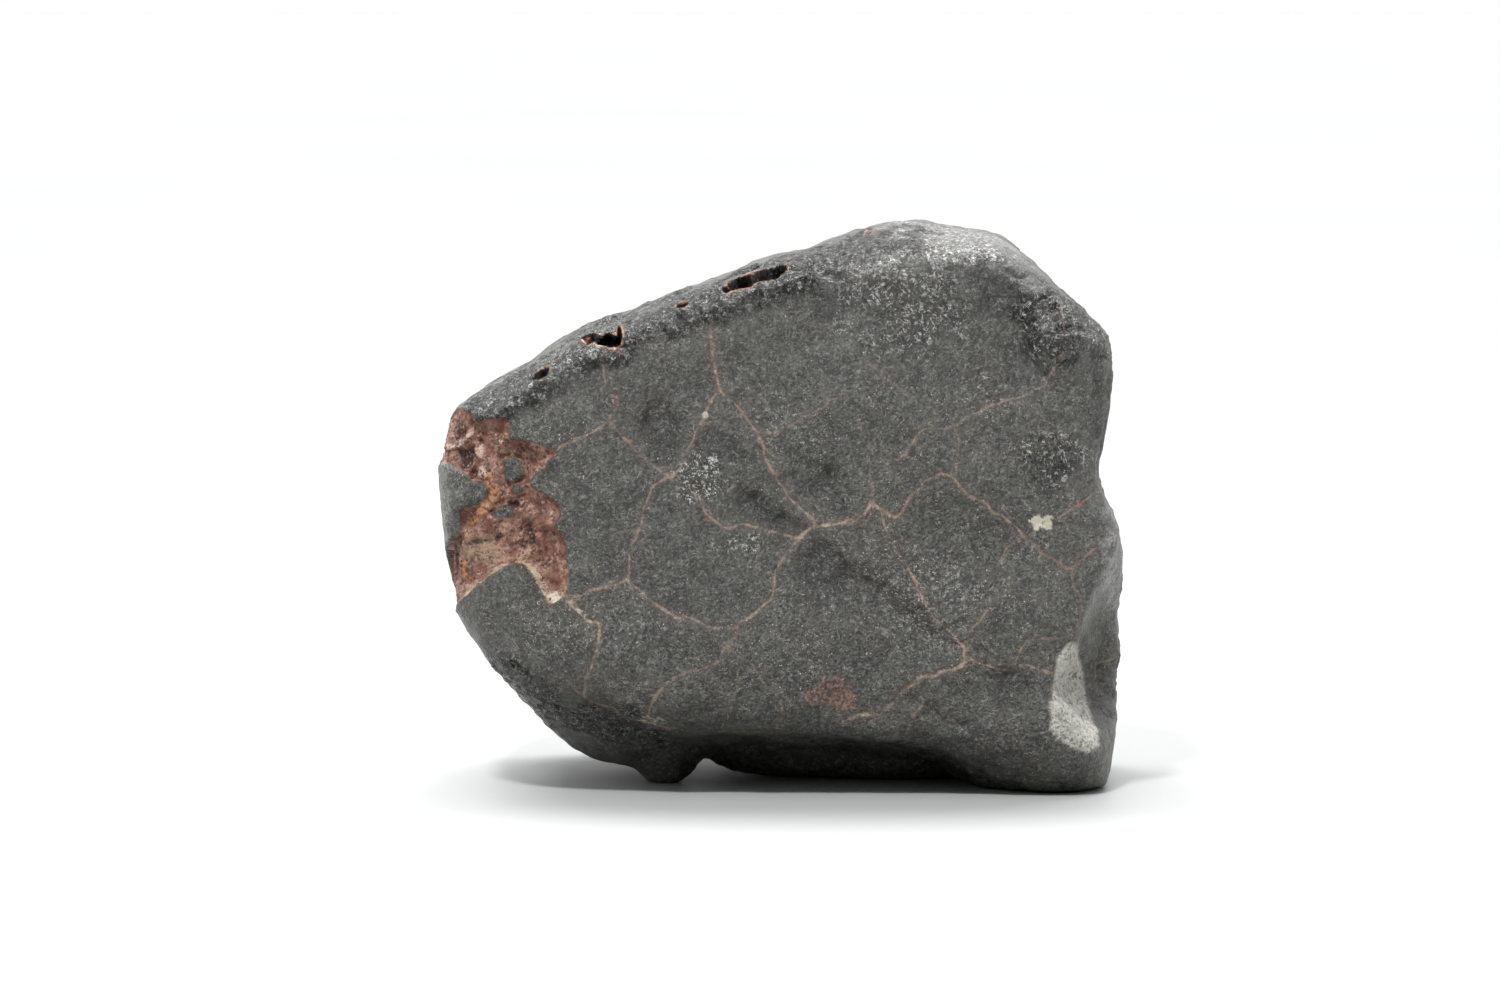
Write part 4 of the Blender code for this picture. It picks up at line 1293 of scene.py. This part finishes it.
def grains_tree():
    """Scatters half-sunk grains over a surface."""
    tree = bpy.data.node_groups.new("grains_on_surface", "GeometryNodeTree")
    sockets = {
        "Surface": "Geometry", "Grains per m2": "Float", "Smallest radius": "Float",
        "Largest radius": "Float", "Sunk share": "Float", "Unevenness": "Float", "Seed": "Int",
        "Material": "Material",
    }
    for title, kind in sockets.items():
        tree.interface.new_socket(name=title, in_out="INPUT", socket_type="NodeSocket" + kind)
    tree.interface.new_socket(name="Grains", in_out="OUTPUT", socket_type="NodeSocketGeometry")
    wiring = Wiring(tree)
    given = wiring.node("NodeGroupInput").outputs
    seed = given["Seed"]
    scatter = wiring.node(
        "GeometryNodeDistributePointsOnFaces",
        {"Mesh": given["Surface"], "Density": given["Grains per m2"], "Seed": seed},
        distribute_method="RANDOM",
    ).outputs
    chance = wiring.node("FunctionNodeRandomValue", {"Seed": seed}, data_type="FLOAT").outputs[1]
    # Cubing the chance makes small grains many and large ones few.
    sizes = {"To Min": given["Smallest radius"], "To Max": given["Largest radius"]}
    sizes["Value"] = wiring.maths("POWER", chance, 3.0)
    size = wiring.node("ShaderNodeMapRange", sizes).outputs[0]
    depth = wiring.times(wiring.times(size, given["Sunk share"]), -1.0)
    sink = wiring.scaled(scatter["Normal"], depth)
    sunk = wiring.node("GeometryNodeSetPosition", {"Geometry": scatter["Points"], "Offset": sink}).outputs[0]
    ball = wiring.node("GeometryNodeMeshIcoSphere", {"Radius": 1.0, "Subdivisions": 2}).outputs[0]
    stretch = wiring.random_vector((0.75, 0.75, 0.6), (1.25, 1.15, 0.95), seed)
    turn = wiring.random_vector((0.0, 0.0, 0.0), (math.tau, math.tau, math.tau), seed)
    placed = {"Points": sunk, "Instance": ball, "Rotation": turn, "Scale": wiring.scaled(stretch, size)}
    placed = wiring.node("GeometryNodeInstanceOnPoints", placed).outputs[0]
    real = wiring.node("GeometryNodeRealizeInstances", {"Geometry": placed}).outputs[0]
    position = wiring.node("GeometryNodeInputPosition").outputs[0]
    lumps = wiring.node("ShaderNodeTexNoise", {"Vector": position, "Scale": 9 / MM, "Detail": 1.0})
    offset = wiring.scaled(wiring.vector("SUBTRACT", lumps.outputs["Color"], MIDDLE), given["Unevenness"])
    uneven = wiring.node("GeometryNodeSetPosition", {"Geometry": real, "Offset": offset}).outputs[0]
    smooth = wiring.node("GeometryNodeSetShadeSmooth", {"Geometry": uneven}).outputs[0]
    painted = {"Geometry": smooth, "Material": given["Material"]}
    painted = wiring.node("GeometryNodeSetMaterial", painted).outputs[0]
    wiring.link(painted, wiring.node("NodeGroupOutput").inputs["Grains"])
    return tree


def grown_mesh(surface, tree, values, name):
    """The plain mesh that a node tree grows on a surface."""
    draft = bpy.data.objects.new("draft", surface)
    bpy.context.scene.collection.objects.link(draft)
    modifier = draft.modifiers.new("Grow", "NODES")
    modifier.node_group = tree
    for item in tree.interface.items_tree:
        if item.in_out == "INPUT" and item.name in values:
            modifier[item.identifier] = values[item.name]
    graph = bpy.context.evaluated_depsgraph_get()
    mesh = bpy.data.meshes.new_from_object(draft.evaluated_get(graph))
    draft.modifiers.remove(modifier)
    bpy.data.objects.remove(draft)
    mesh.name = name
    return mesh


def add_piece(name, mesh):
    piece = bpy.data.objects.new(name, mesh)
    bpy.context.scene.collection.objects.link(piece)
    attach(piece, "root")
    return piece


# Operators


class METEORITE_OT_camera(bpy.types.Operator):
    """Make the camera at the photograph's viewing angle"""

    bl_idname = "meteorite.camera"
    bl_label = "Camera"

    def execute(self, context):
        settings = context.scene.meteorite_camera
        view = PhotoView(settings)
        data = bpy.data.cameras.new("camera")
        data.lens = settings.lens
        data.sensor_width = SENSOR_WIDE
        data.clip_start = 0.01
        data.clip_end = 100.0
        camera = bpy.data.objects.new("camera", data)
        camera.location = view.eye * MM
        camera.rotation_euler = (math.pi / 2 - settings.elevation, 0.0, 0.0)
        context.scene.collection.objects.link(camera)
        context.scene.camera = camera
        return {"FINISHED"}


class METEORITE_OT_stone(bpy.types.Operator):
    """Make the stone: relief, cracks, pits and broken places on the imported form"""

    bl_idname = "meteorite.stone"
    bl_label = "Stone"

    def execute(self, context):
        scene = context.scene
        noise.seed_set(STONE_SEED)
        view = PhotoView(scene.meteorite_camera)
        form, points, faces = smooth_form(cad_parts["meteorite"])
        stone_map = StoneMap(form, view, scene.meteorite_crust.hidden_cracks)
        points, faces = fine_net(form, points, faces, stone_map, view)
        points, fields = worked_stone(points, faces, stone_map)
        mesh = mesh_of("stone", points, faces, fields)
        mesh.materials.append(crust_material(scene.meteorite_crust))
        mesh.materials.append(broken_material(scene.meteorite_broken, scene.meteorite_crust))
        broken = fields["break_inside"][faces].mean(axis=1) > 0.0
        mesh.polygons.foreach_set("material_index", broken.astype(np.int32))
        print("stone triangles", len(faces))
        stone = add_piece("stone", mesh)
        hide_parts("meteorite")
        return {"FINISHED"}


class METEORITE_OT_grains(bpy.types.Operator):
    """Scatter mineral grains over the broken stone"""

    bl_idname = "meteorite.grains"
    bl_label = "Grains"

    def execute(self, context):
        stone = bpy.data.objects.get("stone")
        if stone is None:
            raise RuntimeError("make the stone before its grains")
        settings = context.scene.meteorite_broken
        surface = stone.data.copy()
        work = bmesh.new()
        work.from_mesh(surface)
        inside = work.verts.layers.float["break_inside"]
        crust = [f for f in work.faces if min(v[inside] for v in f.verts) < 0.10]
        bmesh.ops.delete(work, geom=crust, context="FACES")
        work.to_mesh(surface)
        work.free()
        values = {
            "Grains per m2": settings.grain_count * 1e4,
            "Smallest radius": settings.smallest_grain,
            "Largest radius": settings.largest_grain,
            "Sunk share": GRAIN_SUNK,
            "Unevenness": GRAIN_UNEVEN * MM,
            "Seed": settings.seed,
            "Material": grain_material(settings),
        }
        mesh = grown_mesh(surface, grains_tree(), values, "broken_stone_grains")
        print("grain triangles", len(mesh.polygons))
        add_piece("broken_stone_grains", mesh)
        return {"FINISHED"}


class METEORITE_OT_stage(bpy.types.Operator):
    """Make the pale floor and the soft studio light"""

    bl_idname = "meteorite.stage"
    bl_label = "Stage"

    def execute(self, context):
        scene = context.scene
        settings = scene.meteorite_stage
        half = settings.floor_size / 2
        mesh = bpy.data.meshes.new("floor")
        corners = [(-half, -half, 0.0), (half, -half, 0.0), (half, half, 0.0), (-half, half, 0.0)]
        mesh.from_pydata(corners, [], [(0, 1, 2, 3)])
        mesh.materials.append(floor_material(settings))
        floor = bpy.data.objects.new("floor", mesh)
        scene.collection.objects.link(floor)
        self.light_tent(scene, settings)
        # A row of soft lights overhead, a little behind the stone, throws the shadow to the front.
        for name, place in OVERHEAD_LIGHTS.items():
            data = bpy.data.lights.new(name, "SUN")
            data.energy = settings.overhead_strength
            data.angle = settings.overhead_softness
            self.aim(scene, data, Vector(place))
        # A small one above the camera, on the left, draws the relief.
        data = bpy.data.lights.new("softbox", "AREA")
        data.energy = settings.softbox_power
        data.size = settings.softbox_size
        self.aim(scene, data, Vector(SOFTBOX_PLACE))
        scene.view_settings.view_transform = "Standard"
        return {"FINISHED"}

    @staticmethod
    def light_tent(scene, settings):
        """A white tent that is brighter overhead, and plain white to look at."""
        world = bpy.data.worlds.new("light_tent")
        world.use_nodes = True
        world.node_tree.nodes.clear()
        wiring = Wiring(world.node_tree)
        way = wiring.node("ShaderNodeTexCoord").outputs["Generated"]
        across, back, up = wiring.node("ShaderNodeSeparateXYZ", {0: way}).outputs
        sideways = wiring.maths("ABSOLUTE", across)
        beside = wiring.step(sideways, 0.45, 1.0, settings.front_light, settings.side_light)
        strength = wiring.plus(beside, wiring.step(up, 0.2, 0.95, 0.0, settings.top_light))
        # Only the light from behind comes from low down.
        strength = wiring.times(strength, wiring.step(up, 0.0, 0.45))
        strength = wiring.plus(strength, wiring.step(back, 0.0, 0.8, 0.0, settings.back_light))
        tent = wiring.node("ShaderNodeBackground", {"Color": WHITE, "Strength": strength}).outputs[0]
        plain = wiring.node("ShaderNodeBackground", {"Color": WHITE, "Strength": 1.0}).outputs[0]
        seen = wiring.node("ShaderNodeLightPath").outputs["Is Camera Ray"]
        both = wiring.node("ShaderNodeMixShader", {0: seen, 1: tent, 2: plain}).outputs[0]
        wiring.link(both, wiring.node("ShaderNodeOutputWorld").inputs[0])
        scene.world = world

    @staticmethod
    def aim(scene, data, place):
        """Puts a lamp in its place, turned to the stone."""
        lamp = bpy.data.objects.new(data.name, data)
        lamp.location = place
        lamp.rotation_euler = (Vector(LAMP_TARGET) - place).to_track_quat("-Z", "Y").to_euler()
        scene.collection.objects.link(lamp)


OPERATORS = (METEORITE_OT_camera, METEORITE_OT_stone, METEORITE_OT_grains, METEORITE_OT_stage)
SETTINGS = {
    "meteorite_camera": CameraSettings,
    "meteorite_crust": CrustSettings,
    "meteorite_broken": BrokenStoneSettings,
    "meteorite_stage": StageSettings,
}


class METEORITE_PT_panel(bpy.types.Panel):
    """Lists the settings and the steps of the meteorite"""

    bl_idname = "METEORITE_PT_panel"
    bl_label = "Meteorite"
    bl_space_type = "VIEW_3D"
    bl_region_type = "UI"
    bl_category = "Meteorite"

    def draw(self, context):
        for name, kind in SETTINGS.items():
            box = self.layout.box()
            group = getattr(context.scene, name)
            for key in kind.__annotations__:
                box.prop(group, key)
        for operator in OPERATORS:
            self.layout.operator(operator.bl_idname)


def register():
    for kind in (*SETTINGS.values(), *OPERATORS, METEORITE_PT_panel):
        bpy.utils.register_class(kind)
    for name, kind in SETTINGS.items():
        setattr(bpy.types.Scene, name, PointerProperty(type=kind))


def unregister():
    for name in SETTINGS:
        delattr(bpy.types.Scene, name)
    for kind in (METEORITE_PT_panel, *OPERATORS[::-1], *list(SETTINGS.values())[::-1]):
        bpy.utils.unregister_class(kind)


def main():
    register()
    bpy.ops.meteorite.camera()
    bpy.ops.meteorite.stone()
    bpy.ops.meteorite.grains()
    bpy.ops.meteorite.stage()


if __name__ == "__main__":
    main()
